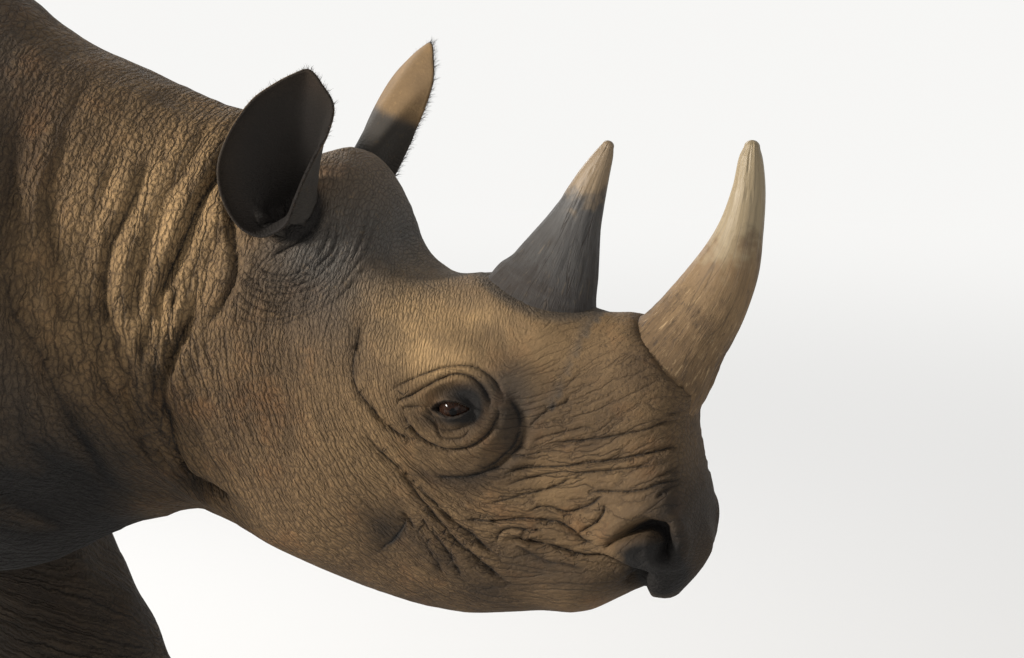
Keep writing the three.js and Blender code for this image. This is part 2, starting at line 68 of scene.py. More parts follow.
# The head's own frame, in millimetres: u to the nose, v to the animal's left, w to the forehead
headPitch = math.radians(20)
eyeLeft, eyeRight = boxCentre("eye_left"), boxCentre("eye_right")
headMiddle = (eyeLeft + eyeRight) / 2
leftAxis = unit(eyeLeft - eyeRight)
levelAxis = np.cross(leftAxis, (0, 0, 1))
noseAxis = levelAxis * math.cos(headPitch) - np.array((0, 0, math.sin(headPitch)))
headAxes = np.array((noseAxis, leftAxis, np.cross(noseAxis, leftAxis)))


def toHead(points):
    return (points - headMiddle) @ headAxes.T * 1000


def fromHead(points):
    return np.asarray(points, float) @ headAxes / 1000 + headMiddle


cameraPlan = {
    "azimuth": 10,  # degrees, 0 looks along +Y
    "elevation": 8,
    "distance": 11.0,
    "lens": 322.3,
    "right": 0.0684,  # from the near eye to the middle of the view
    "up": 0.0948,
}


def makeCamera(plan):
    turn, tilt = math.radians(plan["azimuth"]), math.radians(plan["elevation"])
    look = Vector((-math.sin(turn) * math.cos(tilt), math.cos(turn) * math.cos(tilt), -math.sin(tilt)))
    right = Vector((math.cos(turn), math.sin(turn), 0))
    aim = Vector(eyeRight) + right * plan["right"] + right.cross(look) * plan["up"]
    data = bpy.data.cameras.new("camera")
    data.lens = plan["lens"]
    data.sensor_width = 36
    data.clip_end = 200
    camera = addObject("camera", data)
    camera.location = aim - look * plan["distance"]
    camera.rotation_euler = look.to_track_quat("-Z", "Y").to_euler()
    scene.camera = camera


makeCamera(cameraPlan)
print("camera made")


def meshPoints(mesh):
    points = np.empty(len(mesh.vertices) * 3)
    mesh.vertices.foreach_get("co", points)
    return points.reshape(-1, 3)


def setPoints(mesh, points):
    mesh.vertices.foreach_set("co", np.asarray(points, np.float32).ravel())
    mesh.update()


def pointNormals(mesh):
    normals = np.empty(len(mesh.vertices) * 3, np.float32)
    mesh.vertex_normals.foreach_get("vector", normals)
    return normals.reshape(-1, 3).astype(float)


def edgeEnds(mesh):  # each edge's first points, then its second ones
    edges = np.empty(len(mesh.edges) * 2, np.int64)
    mesh.edges.foreach_get("vertices", edges)
    return edges.reshape(-1, 2).T


def neighbourMean(mesh):  # returns a function that averages each point's neighbours
    first, second = edgeEnds(mesh)
    count = len(mesh.vertices)
    a = np.concatenate((first, second))
    b = np.concatenate((second, first))
    order = np.argsort(a, kind="stable")
    a, b = a[order], b[order]
    starts = np.searchsorted(a, np.arange(count))
    degree = np.bincount(a, minlength=count).reshape(-1, 1)
    return lambda values: np.add.reduceat(values[b], starts, axis=0) / degree


def relax(points, mean, rounds, weight=1.0, keep=0.04):  # smooths without shrinking
    give = 0.6
    back = -give / (1 - keep * give)
    for _ in range(rounds):
        points = points + (mean(points) - points) * give * weight
        points = points + (mean(points) - points) * back * weight
    return points


def newObject(name, points, faces):
    mesh = bpy.data.meshes.new(name)
    mesh.from_pydata([tuple(p) for p in points], [], [tuple(f) for f in faces])
    mesh.update()
    return addObject(name, mesh)


def turnFacesOut(mesh):
    made = bmesh.new()
    made.from_mesh(mesh)
    bmesh.ops.recalc_face_normals(made, faces=made.faces)
    made.to_mesh(mesh)
    made.free()


def smoothFaces(mesh):
    mesh.polygons.foreach_set("use_smooth", np.ones(len(mesh.polygons), bool))


def attach(mesh, name, kind, values):  # a named value for each point, which a material can read
    layer = mesh.attributes.new(name, kind, "POINT")
    slot = {"FLOAT": "value", "FLOAT_VECTOR": "vector", "FLOAT_COLOR": "color"}[kind]
    layer.data.foreach_set(slot, np.asarray(values, np.float32).ravel())


def unitRows(rows):
    return rows / np.maximum(np.linalg.norm(rows, axis=1), 1e-9)[:, None]


def ease(low, high, value):  # 0 below low, 1 above high, smooth between
    t = np.clip((value - low) / (high - low), 0, 1)
    return t * t * (3 - 2 * t)


def bell(value, width):
    return np.exp(-(value / width) ** 2)


def hashed(cells, seed):  # a random number from 0 to 1 for each whole-number cell
    mixed = (cells * np.array((73856093, 19349663, 83492791))).sum(axis=-1) + seed * 2654435761
    mixed = (mixed ^ (mixed >> 13)) * 1274126177
    return ((mixed ^ (mixed >> 16)) & 0xFFFFFF) / 0xFFFFFF


def softNoise(places, seed=0):  # smooth noise from -1 to 1 with a grain of 1
    cells = np.floor(places).astype(np.int64)
    part = places - cells
    part = part * part * (3 - 2 * part)
    total = 0
    for corner in np.ndindex(2, 2, 2):
        corner = np.array(corner)
        share = np.where(corner, part, 1 - part).prod(axis=-1)
        total = total + share * hashed(cells + corner, seed)
    return total * 2 - 1


def between(a, b, c, d, t):  # the curve from b to c, with a before them and d after
    bend = (2 * a - 5 * b + 4 * c - d) * t ** 2 + (3 * b - a - 3 * c + d) * t ** 3
    return b + ((c - a) * t + bend) / 2


def smoothLine(points, step):  # a curve through points, cut into short steps
    points = np.asarray(points, float)
    points = np.concatenate((2 * points[:1] - points[1:2], points, 2 * points[-1:] - points[-2:-1]))
    runs = []
    for a, b, c, d in zip(points[:-3], points[1:-2], points[2:-1], points[3:]):
        count = max(2, int(np.linalg.norm(c - b) / step))
        runs.append(between(a, b, c, d, (np.arange(count) / count)[:, None]))
    return np.concatenate(runs + [points[-2:-1]])


def nearest(places, line):  # which point of a line is nearest to each place
    which = np.zeros(len(places), int)
    few = 20000  # places at a time, to save memory
    for start in range(0, len(places), few):
        away = places[start:start + few, None, :] - line[None, :, :]
        which[start:start + few] = (away ** 2).sum(axis=2).argmin(axis=1)
    return which


def nearLine(places, line):  # distance to a line, step across it with a sign, how far along from 0 to 1
    which = nearest(places, line)
    ahead = unitRows(np.gradient(line, axis=0))[which]
    away = places - line[which]
    across = ahead[:, 0] * away[:, 1] - ahead[:, 1] * away[:, 0]
    return np.sqrt((away ** 2).sum(axis=1)), across, which / (len(line) - 1)


# The skin: the flesh as one surface
legNames = [end + "leg_" + side for end in ("fore", "hind") for side in ("left", "right")]
fleshNodes = ["head", "neck", "trunk", "tail", "ear_left", "ear_right"] + legNames
skinPlan = {
    "grain": 0.0057,  # size of the mesh's cells at the nose
    "ahead": (2.9, -0.12, 0.9),  # the cells grow with the square of the distance to this point
    "nearest": 1.5,
    "fatten": 0.0012,
    "rootFatten": 0.0032,  # the horns' roots swell to close the cut round them
    "rounds": 90,
    "foldCell": 0.0030,  # cells beside a fold of the head are cut down to this
    "rootWide": 50,  # how wide a horn's root is above its height, in millimetres
}
hornRoots = {  # a horn's part inside the head, in the head's frame: its foot, its aim and its height
    "horn_front": ((178, 0, 96), (0.55, 0, 0.84), 44),
    "horn_rear": ((27, 0, 104), (0, 0, 1), 42),
}
bodyKind, earKind, hollowKind, tailKind = skinKinds = range(4)


def mergedCopy(node):
    made = bmesh.new()
    made.from_mesh(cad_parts[node].data)
    bmesh.ops.remove_doubles(made, verts=made.verts, dist=1e-5)
    made.verts.index_update()
    points = np.array([v.co for v in made.verts])
    normals = np.array([v.normal for v in made.verts])
    faces = [[v.index for v in f.verts] for f in made.faces]
    made.free()
    return points, normals, faces


def turnInsideOut(points, centre):
    away = points - centre
    return centre + away / (away ** 2).sum(axis=1)[:, None]


def evaluated(piece):  # the piece with its modifiers, as a plain mesh
    return bpy.data.meshes.new_from_object(piece.evaluated_get(bpy.context.evaluated_depsgraph_get()))


def fleshSurface(plan):
    allPoints, allFaces = [], []
    start = 0
    for node in ["head", "neck", "trunk"] + legNames + ["eye_left", "eye_right"] + list(hornRoots):
        points, normals, faces = mergedCopy(node)
        if node in hornRoots:
            foot, aim, height = (np.array(part) for part in hornRoots[node])
            away = toHead(points) - foot
            run = (away @ aim)[:, None]
            level = away - run * aim
            narrowed = np.minimum(1, plan["rootWide"] / np.linalg.norm(level, axis=1)[:, None])
            level *= np.where(run > height, narrowed, 1)
            points = fromHead(foot + level + np.minimum(run, height) * aim)
        allPoints.append(points + normals * plan["rootFatten" if node in hornRoots else "fatten"])
        allFaces += [[i + start for i in f] for f in faces]
        start += len(points)
    centre = np.array(plan["ahead"])
    made = newObject("flesh", turnInsideOut(np.concatenate(allPoints), centre), allFaces)
    remesh = made.modifiers.new("wrap", "REMESH")
    remesh.mode = "VOXEL"
    remesh.voxel_size = plan["grain"] / plan["nearest"] ** 2
    wrapped = evaluated(made)
    bpy.data.objects.remove(made)
    points = turnInsideOut(meshPoints(wrapped), centre)
    wrapped.flip_normals()
    fine = (plan["nearest"] / np.linalg.norm(points - centre, axis=1)) ** 2
    points = relax(points, neighbourMean(wrapped), plan["rounds"], np.clip(fine, 0.2, 1)[:, None], 0.02)
    setPoints(wrapped, points)
    return wrapped


# The ears: a stalk that opens into a trumpet, in the ear's own frame (s across, w along, n out)
earPlan = {
    "rim": [(8, 226, 9), (25, 209, 14), (40, 184, 20), (35, 151, 26), (23, 124, 30), (11, 95, 34),
            (0, 62, 36), (-10, 32, 36), (-28, 15, 34), (-46, 10, 32), (-67, 19, 30), (-85, 42, 26),
            (-96, 72, 22), (-97, 104, 18), (-84, 144, 14), (-61, 181, 10), (-39, 201, 9), (-13, 218, 8)],
    "stands": {  # root in the head's frame, the way it points, the way it opens
        "ear_right": ((-260, -106, 118), (-36, -58, 190), (0.39, -0.9, -0.2)),
        "ear_left": ((-272, 104, 120), (2, 45, 225), (0.82, 0.57, -0.1)),
    },
    "radius": 30,
    "sunk": -28,  # how far the stalk goes on inside the head
    "around": 84,
    "along": 30,
    "wall": 7.5,  # thickness at the stalk
    "edge": 3.4,  # thickness at the rim
    "floor": 0.2,  # where along the wall the hollow ends
}


def closedCurve(points, turns):
    points = np.asarray(points, float)
    count = len(points)
    place = (np.asarray(turns) % 1) * count
    cell = np.floor(place).astype(int)
    t = (place - cell)[:, None]
    return between(*(points[(cell + k) % count] for k in (-1, 0, 1, 2)), t)


def earFrame(name):  # rows are the ear's s, w and n in the head's frame
    root, along, opens = (np.array(v, float) for v in earPlan["stands"][name])
    w = unit(along)
    n = unit(opens - w * (opens @ w))
    s = np.cross(n, w) if name == "ear_left" else np.cross(w, n)
    return root, np.array((s, w, n))


def earWall(plan):  # outer and inner points, by turn and by run up the wall
    turns = np.arange(plan["around"]) / plan["around"]
    end = closedCurve(plan["rim"], turns)
    aim = math.pi * (0.5 - 2 * turns) + 0.25
    foot = np.stack((plan["radius"] * np.cos(aim) * 0.95, np.full(len(turns), plan["sunk"]),
                     -plan["radius"] * np.sin(aim) - 4), axis=1)
    rise = foot * (1, 0, 1) + (0, 26, 0)
    s, w, n = end.T
    flare = np.stack((0.86 * s - 6, 0.84 * w + 8, n - 44 + 0.12 * w), axis=1)
    run = np.linspace(0, 1, plan["along"] + 1)[None, :, None]
    foot, rise, flare, end = (part[:, None, :] for part in (foot, rise, flare, end))  # four of a curve
    outer = (foot * (1 - run) ** 3 + 3 * rise * run * (1 - run) ** 2 + 3 * flare * run ** 2 * (1 - run)
             + end * run ** 3)
    around = np.roll(outer, -1, axis=0) - np.roll(outer, 1, axis=0)
    inward = np.cross(around, np.gradient(outer, axis=1))
    inward /= np.linalg.norm(inward, axis=2)[:, :, None]
    depth = plan["wall"] + (plan["edge"] - plan["wall"]) * ease(0.55, 0.97, run)
    return outer, outer + inward * depth


def earSolid(name, plan):
    outer, inner = earWall(plan)
    first = int(plan["floor"] * plan["along"])
    lip = (outer[:, -1:] + inner[:, -1:]) / 2 + (outer[:, -1:] - outer[:, -2:-1]) * 0.25
    rings = np.concatenate((outer, lip, inner[:, :first - 1:-1]), axis=1)
    around, rows = rings.shape[:2]
    root, axes = earFrame(name)
    ends = np.stack((rings[:, 0].mean(axis=0), rings[:, -1].mean(axis=0)))
    points = fromHead(np.concatenate((rings.reshape(-1, 3), ends)) @ axes + root)
    faces, kinds = [], []
    for i in range(around):
        a, b = i * rows, (i + 1) % around * rows
        for k in range(rows - 1):
            faces.append((a + k, b + k, b + k + 1, a + k + 1))
            kinds.append(earKind if k < outer.shape[1] else hollowKind)
        faces += [(around * rows, b, a), (around * rows + 1, a + rows - 1, b + rows - 1)]
        kinds += [earKind, hollowKind]
    if name == "ear_left":
        faces = [f[::-1] for f in faces]
    return points, faces, kinds


tailPlan = {  # x, y, z, radius fore and aft, radius sideways
    "rings": [(-2400, 0, 1282, 58, 60), (-2462, 0, 1256, 48, 54), (-2506, 0, 1200, 36, 42),
              (-2532, 1, 1110, 27, 32), (-2540, 4, 1000, 21, 26), (-2534, 8, 860, 17, 23),
              (-2522, 12, 740, 13, 22), (-2512, 14, 670, 10, 20), (-2508, 14, 630, 6, 11)],
    "shift": (1104.5, -0.4, 0),  # from the table's origin to the model's
    "around": 28,
    "step": 11,
}


def ringsAlong(table, step, around, turn=0.0):  # rings round a bent line: middle and two radii in each row
    rows = smoothLine(table, step)
    run = np.gradient(rows[:, :3], axis=0)
    run /= np.linalg.norm(run, axis=1)[:, None]
    fore = np.stack((run[:, 2], np.zeros(len(run)), -run[:, 0]), axis=1)
    angle = 2 * math.pi * np.arange(around) / around + turn
    reach = np.cos(angle)[None, :, None] * fore[:, None, :] * rows[:, None, 3:4]
    across = np.sin(angle)[None, :, None] * np.array((0, 1, 0)) * rows[:, None, 4:5]
    return rows, rows[:, None, :3] + reach + across


def ringFaces(rows, around):  # walls and two end caps; the caps' middles are the last two points
    faces = []
    for k in range(rows - 1):
        for i in range(around):
            a, b = k * around + i, k * around + (i + 1) % around
            faces.append((a, b, b + around, a + around))
    last = (rows - 1) * around
    for i in range(around):
        j = (i + 1) % around
        faces += [(rows * around, j, i), (rows * around + 1, last + i, last + j)]
    return faces


def tailSolid(plan):
    rows, rings = ringsAlong(plan["rings"], plan["step"], plan["around"])
    ends = rings[[0, -1]].mean(axis=1)
    points = (np.concatenate((rings.reshape(-1, 3), ends)) + plan["shift"]) / 1000
    faces = ringFaces(len(rows), plan["around"])
    return points, faces, [tailKind] * len(faces)


def addSlots(mesh):  # one for each kind of skin, so that a joint keeps them apart
    for _ in skinKinds:
        mesh.materials.append(None)


def joinToFlesh(flesh, solids):
    base = addObject("fleshJoin", flesh)
    pieces = [base]
    for name, (points, faces, kinds) in solids.items():
        piece = newObject(name + "Solid", points, faces)
        turnFacesOut(piece.data)
        pieces.append(piece)
        addSlots(piece.data)
        piece.data.polygons.foreach_set("material_index", kinds)
        join = base.modifiers.new(name, "BOOLEAN")
        join.operation = "UNION"
        join.solver = "MANIFOLD"
        join.object = piece
    addSlots(flesh)
    joined = evaluated(base)
    for piece in pieces:
        bpy.data.objects.remove(piece)
    return joined


def faceKinds(mesh):
    kinds = np.empty(len(mesh.polygons), np.int32)
    mesh.polygons.foreach_get("material_index", kinds)
    return kinds


def touches(mesh, chosen):  # which points have a face that is chosen
    loops = np.empty(len(mesh.loops), np.int32)
    mesh.loops.foreach_get("vertex_index", loops)
    sizes = np.empty(len(mesh.polygons), np.int32)
    mesh.polygons.foreach_get("loop_total", sizes)
    found = np.zeros(len(mesh.vertices), bool)
    found[loops[np.repeat(chosen, sizes)]] = True
    return found


def dropCrumbs(made, fewest=200):  # loose bits too small to be part of the skin
    made.verts.index_update()
    found = np.zeros(len(made.verts), bool)
    crumbs = []
    for start in made.verts:
        if found[start.index]:
            continue
        found[start.index] = True
        piece = [start]
        for vert in piece:  # grows as it goes
            for edge in vert.link_edges:
                other = edge.other_vert(vert)
                if not found[other.index]:
                    found[other.index] = True
                    piece.append(other)
        if len(piece) < fewest:
            crumbs += piece
    bmesh.ops.delete(made, geom=crumbs, context="VERTS")


def softenSeams(mesh, reach=6, rounds=40):
    kinds = faceKinds(mesh)
    seam = touches(mesh, kinds == bodyKind) & touches(mesh, kinds != bodyKind)
    made = bmesh.new()
    made.from_mesh(mesh)
    made.verts.ensure_lookup_table()
    bmesh.ops.remove_doubles(made, verts=[made.verts[i] for i in np.flatnonzero(seam)], dist=0.0008)
    dropCrumbs(made)
    bmesh.ops.triangulate(made, faces=[f for f in made.faces if len(f.verts) > 4])
    made.to_mesh(mesh)
    made.free()
    kinds = faceKinds(mesh)
    near = (touches(mesh, kinds == bodyKind) & touches(mesh, kinds != bodyKind)).astype(float)
    mean = neighbourMean(mesh)
    for ring in range(reach):
        near = np.maximum(near, (mean(near[:, None])[:, 0] > 0) * (1 - (ring + 1) / (reach + 1)))
    setPoints(mesh, relax(meshPoints(mesh), mean, rounds, near[:, None], 0.3))


def refine(mesh, wanted, shortest):  # halves the edges longer than shortest between wanted points
    points = meshPoints(mesh)
    chosen = wanted(points)
    made = bmesh.new()
    made.from_mesh(mesh)
    edges = [e for e in made.edges if chosen[e.verts[0].index] and chosen[e.verts[1].index]
             and e.calc_length() > shortest]
    bmesh.ops.subdivide_edges(made, edges=edges, cuts=1, use_grid_fill=True)
    made.to_mesh(mesh)
    made.free()


def triangles(mesh):
    return len(mesh.loops) - 2 * len(mesh.polygons)


skinMesh = fleshSurface(skinPlan)
print("flesh wrapped:", triangles(skinMesh), "triangles")
solids = {name: earSolid(name, earPlan) for name in earPlan["stands"]}
solids["tail"] = tailSolid(tailPlan)
skinMesh = joinToFlesh(skinMesh, solids)
softenSeams(skinMesh)
print("ears and tail joined:", triangles(skinMesh), "triangles")

# Folds of the head, as lines of (u, w) on its sides, in millimetres
headFolds = {  # line, depth, width, lift of the skin beside it (left and right of the line's run)
    "upperLidFold": ([(-64, -26), (-59, -9), (-44, 8), (-27, 28), (-9, 43), (10, 46), (27, 38),
                      (38, 26), (41, 13)], 3.2, 2.6, (0.6, 1.6)),
    "outerLidFold": ([(-76, -8), (-57, 17), (-33, 39), (-8, 54), (12, 58), (30, 52), (46, 40),
                      (54, 28)], 2.6, 2.6, (1.0, 1.4)),
    "lowerLidFold": ([(-56, -14), (-53, -22), (-41, -36), (-19, -50), (4, -52), (21, -46), (38, -33),
                      (49, -12), (52, 10), (46, 28)], 4.2, 3.0, (1.8, 2.0)),
    "lidLine": ([(-32, -6), (-22, -14), (-4, -27), (12, -22), (19, -10)], 1.5, 1.6, (0.8, 0.5)),
    "lidLineLow": ([(-34, -14), (-13, -24), (2, -37), (22, -29), (30, -10)], 1.8, 2.0, (1.0, 0.8)),
    "lidCorner": ([(-58, -20), (-46, -13), (-36, -9), (-24, -5)], 2.0, 2.0, (1.2, 0.8)),
    "eyeHollow": ([(54, 40), (72, 24), (80, 2), (79, -22), (66, -46),
                   (48, -64)], 5.5, 11.0, (0.5, 1.0)),
    "eyeHollowLow": ([(82, 4), (86, -18), (76, -44), (62, -59), (44, -74), (19, -84),
                      (-7, -91)], 3.6, 4.0, (1.6, 1.0)),
    "underLid": ([(-78, -40), (-60, -58), (-38, -70), (-20, -74)], 1.2, 3.0, (0.5, 0.5)),
    "cheekFold": ([(-146, 70), (-136, 40), (-125, 4), (-112, -18), (-96, -30), (-76, -44), (-49, -53),
                   (-18, -56)], 4.0, 3.2, (0.8, 2.2)),
    "cheekLine": ([(-90, -62), (-78, -73), (-56, -86), (-39, -95), (-22, -104), (0, -113), (17, -123),
                   (41, -134), (68, -144), (95, -154), (117, -160)], 5.0, 3.6, (1.6, 2.0)),
    "jawLine": ([(-38, -100), (-4, -120), (16, -134), (35, -145), (56, -158), (79, -169), (101, -178),
                 (131, -188)], 4.4, 3.6, (1.4, 1.8)),
    "jawLineLow": ([(-2, -138), (18, -152), (39, -166), (52, -180), (64, -192),
                    (72, -202)], 3.0, 3.0, (1.0, 1.2)),
    "jawLineBack": ([(-24, -140), (-9, -151), (12, -166), (29, -182), (42, -197),
                     (53, -208)], 2.4, 2.8, (0.8, 1.0)),
    "jawHollow": ([(-14, -142), (-12, -158), (-18, -182), (-32, -204)], 3.6, 13.0, (0.0, 0.0)),
    "noseFoldTop": ([(98, -8), (113, 8), (133, 21), (152, 34), (170, 40)], 2.0, 2.2, (0.6, 0.8)),
    "noseFoldUpper": ([(118, -2), (153, 18), (185, 36), (203, 48), (222, 60), (243, 76),
                       (270, 84)], 2.6, 2.4, (0.8, 1.0)),
    "noseFoldEye": ([(70, -50), (84, -34), (100, -23), (116, -12), (130, -6)], 2.4, 2.2, (0.6, 0.8)),
    "noseFoldLong": ([(66, -68), (84, -53), (99, -42), (138, -24), (165, -8), (188, 4), (204, 15),
                      (221, 25), (240, 37), (262, 49), (286, 57), (302, 60)], 3.8, 2.8, (1.2, 1.4)),
    "noseFoldMid": ([(78, -77), (91, -65), (115, -46), (140, -30), (160, -22), (176, -14), (193, -6),
                     (218, 8), (236, 18), (262, 32)], 2.8, 2.4, (0.8, 1.0)),
    "noseFoldLow": ([(70, -100), (85, -91), (103, -77), (124, -62), (143, -46),
                     (162, -30)], 3.0, 2.4, (0.8, 1.0)),
    "wingFoldTop": ([(176, -46), (196, -33), (213, -24), (232, -16), (246, -7), (262, 6), (276, 14),
                     (300, 20)], 3.6, 2.8, (1.2, 1.4)),
    "wingFoldBack": ([(118, -92), (130, -80), (146, -75), (165, -73), (184, -57), (196, -42),
                      (204, -32)], 3.4, 2.8, (1.0, 1.4)),
    "noseFrontMid": ([(264, -12), (275, 4), (287, 14), (304, 20)], 2.4, 2.4, (1.0, 1.2)),
    "noseFrontUpper": ([(256, 12), (272, 26), (292, 38), (310, 44)], 2.2, 2.2, (0.8, 1.0)),
    "noseFrontHigh": ([(236, 84), (258, 92), (278, 98)], 1.8, 2.4, (0.6, 0.8)),
    "noseFrontTop": ([(255, 12), (272, 22), (290, 30), (300, 32)], 2.0, 2.4, (0.6, 0.6)),
    "wingCrease": ([(186, -95), (190, -88), (201, -71), (207, -56), (207, -42)], 4.0, 3.0, (1.2, 1.6)),
    "lipRoll": ([(40, -134), (66, -123), (92, -114), (117, -102), (144, -92), (163, -89), (180, -92),
                 (196, -97), (210, -97), (224, -101)], 4.2, 2.8, (1.2, 1.6)),
    "lipRollLow": ([(97, -142), (97, -129), (106, -118), (127, -111),
                    (146, -104)], 3.4, 2.6, (1.0, 1.6)),
    "mouth": ([(106, -135), (113, -130), (127, -125), (153, -121), (177, -118), (200, -116),
               (225, -108), (248, -108), (264, -112), (278, -118)], 8.5, 3.0, (2.2, 1.6)),
    "underLip": ([(118, -134), (135, -138), (160, -140), (184, -135),
                  (210, -132)], 2.2, 2.6, (1.0, 0.6)),
    "wingFoldEye": ([(88, 8), (95, 25), (103, 38), (118, 51), (122, 64)], 2.4, 2.4, (0.8, 0.8)),
    "browLine": ([(111, 66), (118, 80), (126, 95)], 1.4, 2.4, (0.5, 0.5)),
    "earFold": ([(-246, 172), (-242, 160), (-240, 142), (-245, 125), (-256, 107),
                 (-273, 88)], 5.0, 3.6, (1.0, 2.4)),
}
headMasses = [  # (u, w), radii, turn in degrees, height: soft swellings and hollows of the sides
    ((-30, 62), (70, 26), 8, 4.0),
    ((60, 74), (44, 26), 10, 3.0),
    ((-8, -6), (54, 42), 20, 3.5),
    ((-126, 20), (26, 60), -20, -4.0),
    ((-200, -60), (70, 110), 0, 4.0),
    ((30, -178), (60, 22), -25, 2.5),
    ((150, -103), (46, 12), 10, 5.0),
    ((226, -70), (18, 30), -42, 5.0),
    ((268, -18), (44, 16), 25, 7.0),
    ((256, -84), (26, 17), -24, 9.0),
    ((292, -72), (18, 34), 0, 4.0),
    ((205, -150), (56, 20), 14, 5.0),
    ((236, -122), (30, 9), 4, -5.0),
]


# The skin's height from its folds; then the way across the nearest crease and how sharp that crease is
def foldSkin(places, folds, side, grain, reach):
    height, sharp = np.zeros(len(places)), np.zeros(len(places))
    crease, first, second = (np.full(len(places), 99.0) for _ in range(3))
    wobble = np.stack((places[:, 0], places[:, 1], np.full(len(places), 50.0 * side)), axis=1) / grain
    drift = 0.08 * grain * np.stack((softNoise(wobble, 1), softNoise(wobble, 2)), axis=1)
    share = 0.85 + 0.3 * softNoise(wobble * 1.4, 3)
    for path, depth, width, (left, right) in folds.values():
        path = smoothLine(path, width * 0.4)
        margin = width * 4.5
        inside = (places > path.min(0) - margin) & (places < path.max(0) + margin)
        near = np.flatnonzero(np.all(inside, axis=1))
        if not len(near):
            continue
        gap, across, run = nearLine(places[near] + drift[near], path)
        ends = ease(0, 0.16, run) * ease(0, 0.16, 1 - run) * 0.9 + 0.1
        ends *= np.where((run == 0) | (run == 1), bell(gap, width), 1)
        groove = -depth * (0.65 * bell(gap, width) + 0.6 * bell(gap, width * 0.5))
        lift = 1.5 * np.where(across > 0, left, right) * bell(gap - width * 2.3, width * 1.5)
        height[near] += (groove + lift) * ends * share[near]
        closer = gap < first[near]
        found = near[closer]
        second[near] = np.where(closer, first[near], np.minimum(second[near], gap))
        first[found] = gap[closer]
        crease[found] = across[closer]
        sharp[found] = min(1, depth / (0.2 * grain)) * (ease(reach * 2, reach, gap) * ends)[closer]
    sharp *= ease(0, reach, second - first)  # midway between two lines the nearest one changes
    return height, np.stack((crease, sharp), axis=1)


def oval(places, middle, radii, turn):  # 1 at the middle of a turned oval, fading away past its rim
    c, s = math.cos(math.radians(turn)), math.sin(math.radians(turn))
    du, dw = places[:, 0] - middle[0], places[:, 1] - middle[1]
    along, across = (du * c + dw * s) / radii[0], (dw * c - du * s) / radii[1]
    return np.exp(-along ** 2 - across ** 2)


def swell(places, masses):
    height = np.zeros(len(places))
    for *shape, rise in masses:
        height += rise * oval(places, *shape)
    return height


headProfile = [  # (u, w) on the midline, reach, how far it reaches to each side, the move there
    ((-140, 165), 38, 75, (-11, -14)),
    ((-142, 130), 34, 110, (-9, -12)),
    ((-95, 136), 30, 75, (-8, -12)),
    ((268, 72), 30, 70, (-11, -2)),
    ((260, 92), 16, 70, (-6, 0)),
    ((300, 34), 32, 80, (-17, -3)),
    ((330, -14), 30, 90, (-13, 0)),
    ((328, -62), 26, 40, (5, 0)),
    ((240, -146), 28, 90, (0, 7)),
]
earRows = {"middle": (-262, 122), "first": 50, "last": 118, "step": 8.5, "from": -128, "to": 18}


def rowsBelowEar(plan):  # the small folds that ring the foot of each ear
    u, w = plan["middle"]
    made = {}
    for k, radius in enumerate(np.arange(plan["first"], plan["last"], plan["step"])):
        start = plan["from"] + 16 * math.sin(2.1 * k)
        stop = plan["to"] + 26 * math.sin(1.3 * k + 1)
        turns = np.radians(np.linspace(start, stop, 8))
        size = radius * (1 + 0.03 * np.sin(3 * turns + k))
        line = np.stack((u + size * np.cos(turns) * 0.86, w + size * np.sin(turns)), axis=1)
        fade = 1 - 0.5 * k * plan["step"] / (plan["last"] - plan["first"])
        made["earRow%d" % k] = (line, 2.4 * fade, 2.4, (0.8, 0.8))
    return made


headFolds |= rowsBelowEar(earRows)


headPlan = {
    "back": (-330, -290),  # along u, where the head's shapes begin
    "noseEnd": (222, 268),  # along u, where the folds fade out before the front of the nose
    "facing": (0.05, 0.5),  # they fade where the skin turns away from the side
    "midline": (5, 40),  # and towards the midline
    "grain": 17,  # of the folds' wobble
    "reach": 3.0,  # how far from its line a crease stays sharp
    "crease": 1.15,  # half the width of a crease's line of painted shade
}


def noCreases(count):  # for each point: far from a crease, and none of it sharp
    return np.tile((99.0, 0.0), (count, 1))


def sculptHead(mesh, plan):
    points = meshPoints(mesh)
    normals = pointNormals(mesh)
    local = toHead(points)
    onHead = ease(*plan["back"], local[:, 0])
    move = np.zeros((len(points), 2))
    for (u, w), reach, wide, shift in headProfile:
        share = bell(np.hypot(local[:, 0] - u, local[:, 2] - w), reach) * bell(local[:, 1], wide) * fleshy
        move += share[:, None] * np.array(shift) / 1000
    points += move @ headAxes[[0, 2]]
    creases = noCreases(len(points))
    for side in (-1, 1):
        mine = (local[:, 1] * side > 0) & (local[:, 0] > plan["back"][0]) & fleshy
        places = local[mine][:, (0, 2)]
        noseEnd = 0.4 * ease(*plan["noseEnd"], places[:, 0])
        facing = ease(*plan["facing"], abs(normals[mine] @ leftAxis) - noseEnd)
        folds, lines = foldSkin(places, headFolds, side, plan["grain"], plan["reach"])
        share = (0.1 + 0.9 * facing) * ease(*plan["midline"], abs(local[mine, 1]))
        height = swell(places, headMasses) * facing + folds * share
        points[mine] += normals[mine] * (height * onHead[mine] / 1000)[:, None]
        creases[mine] = lines * np.stack((0 * share + 1 / plan["crease"], share * onHead[mine]), axis=1)
    setPoints(mesh, points)
    return creases


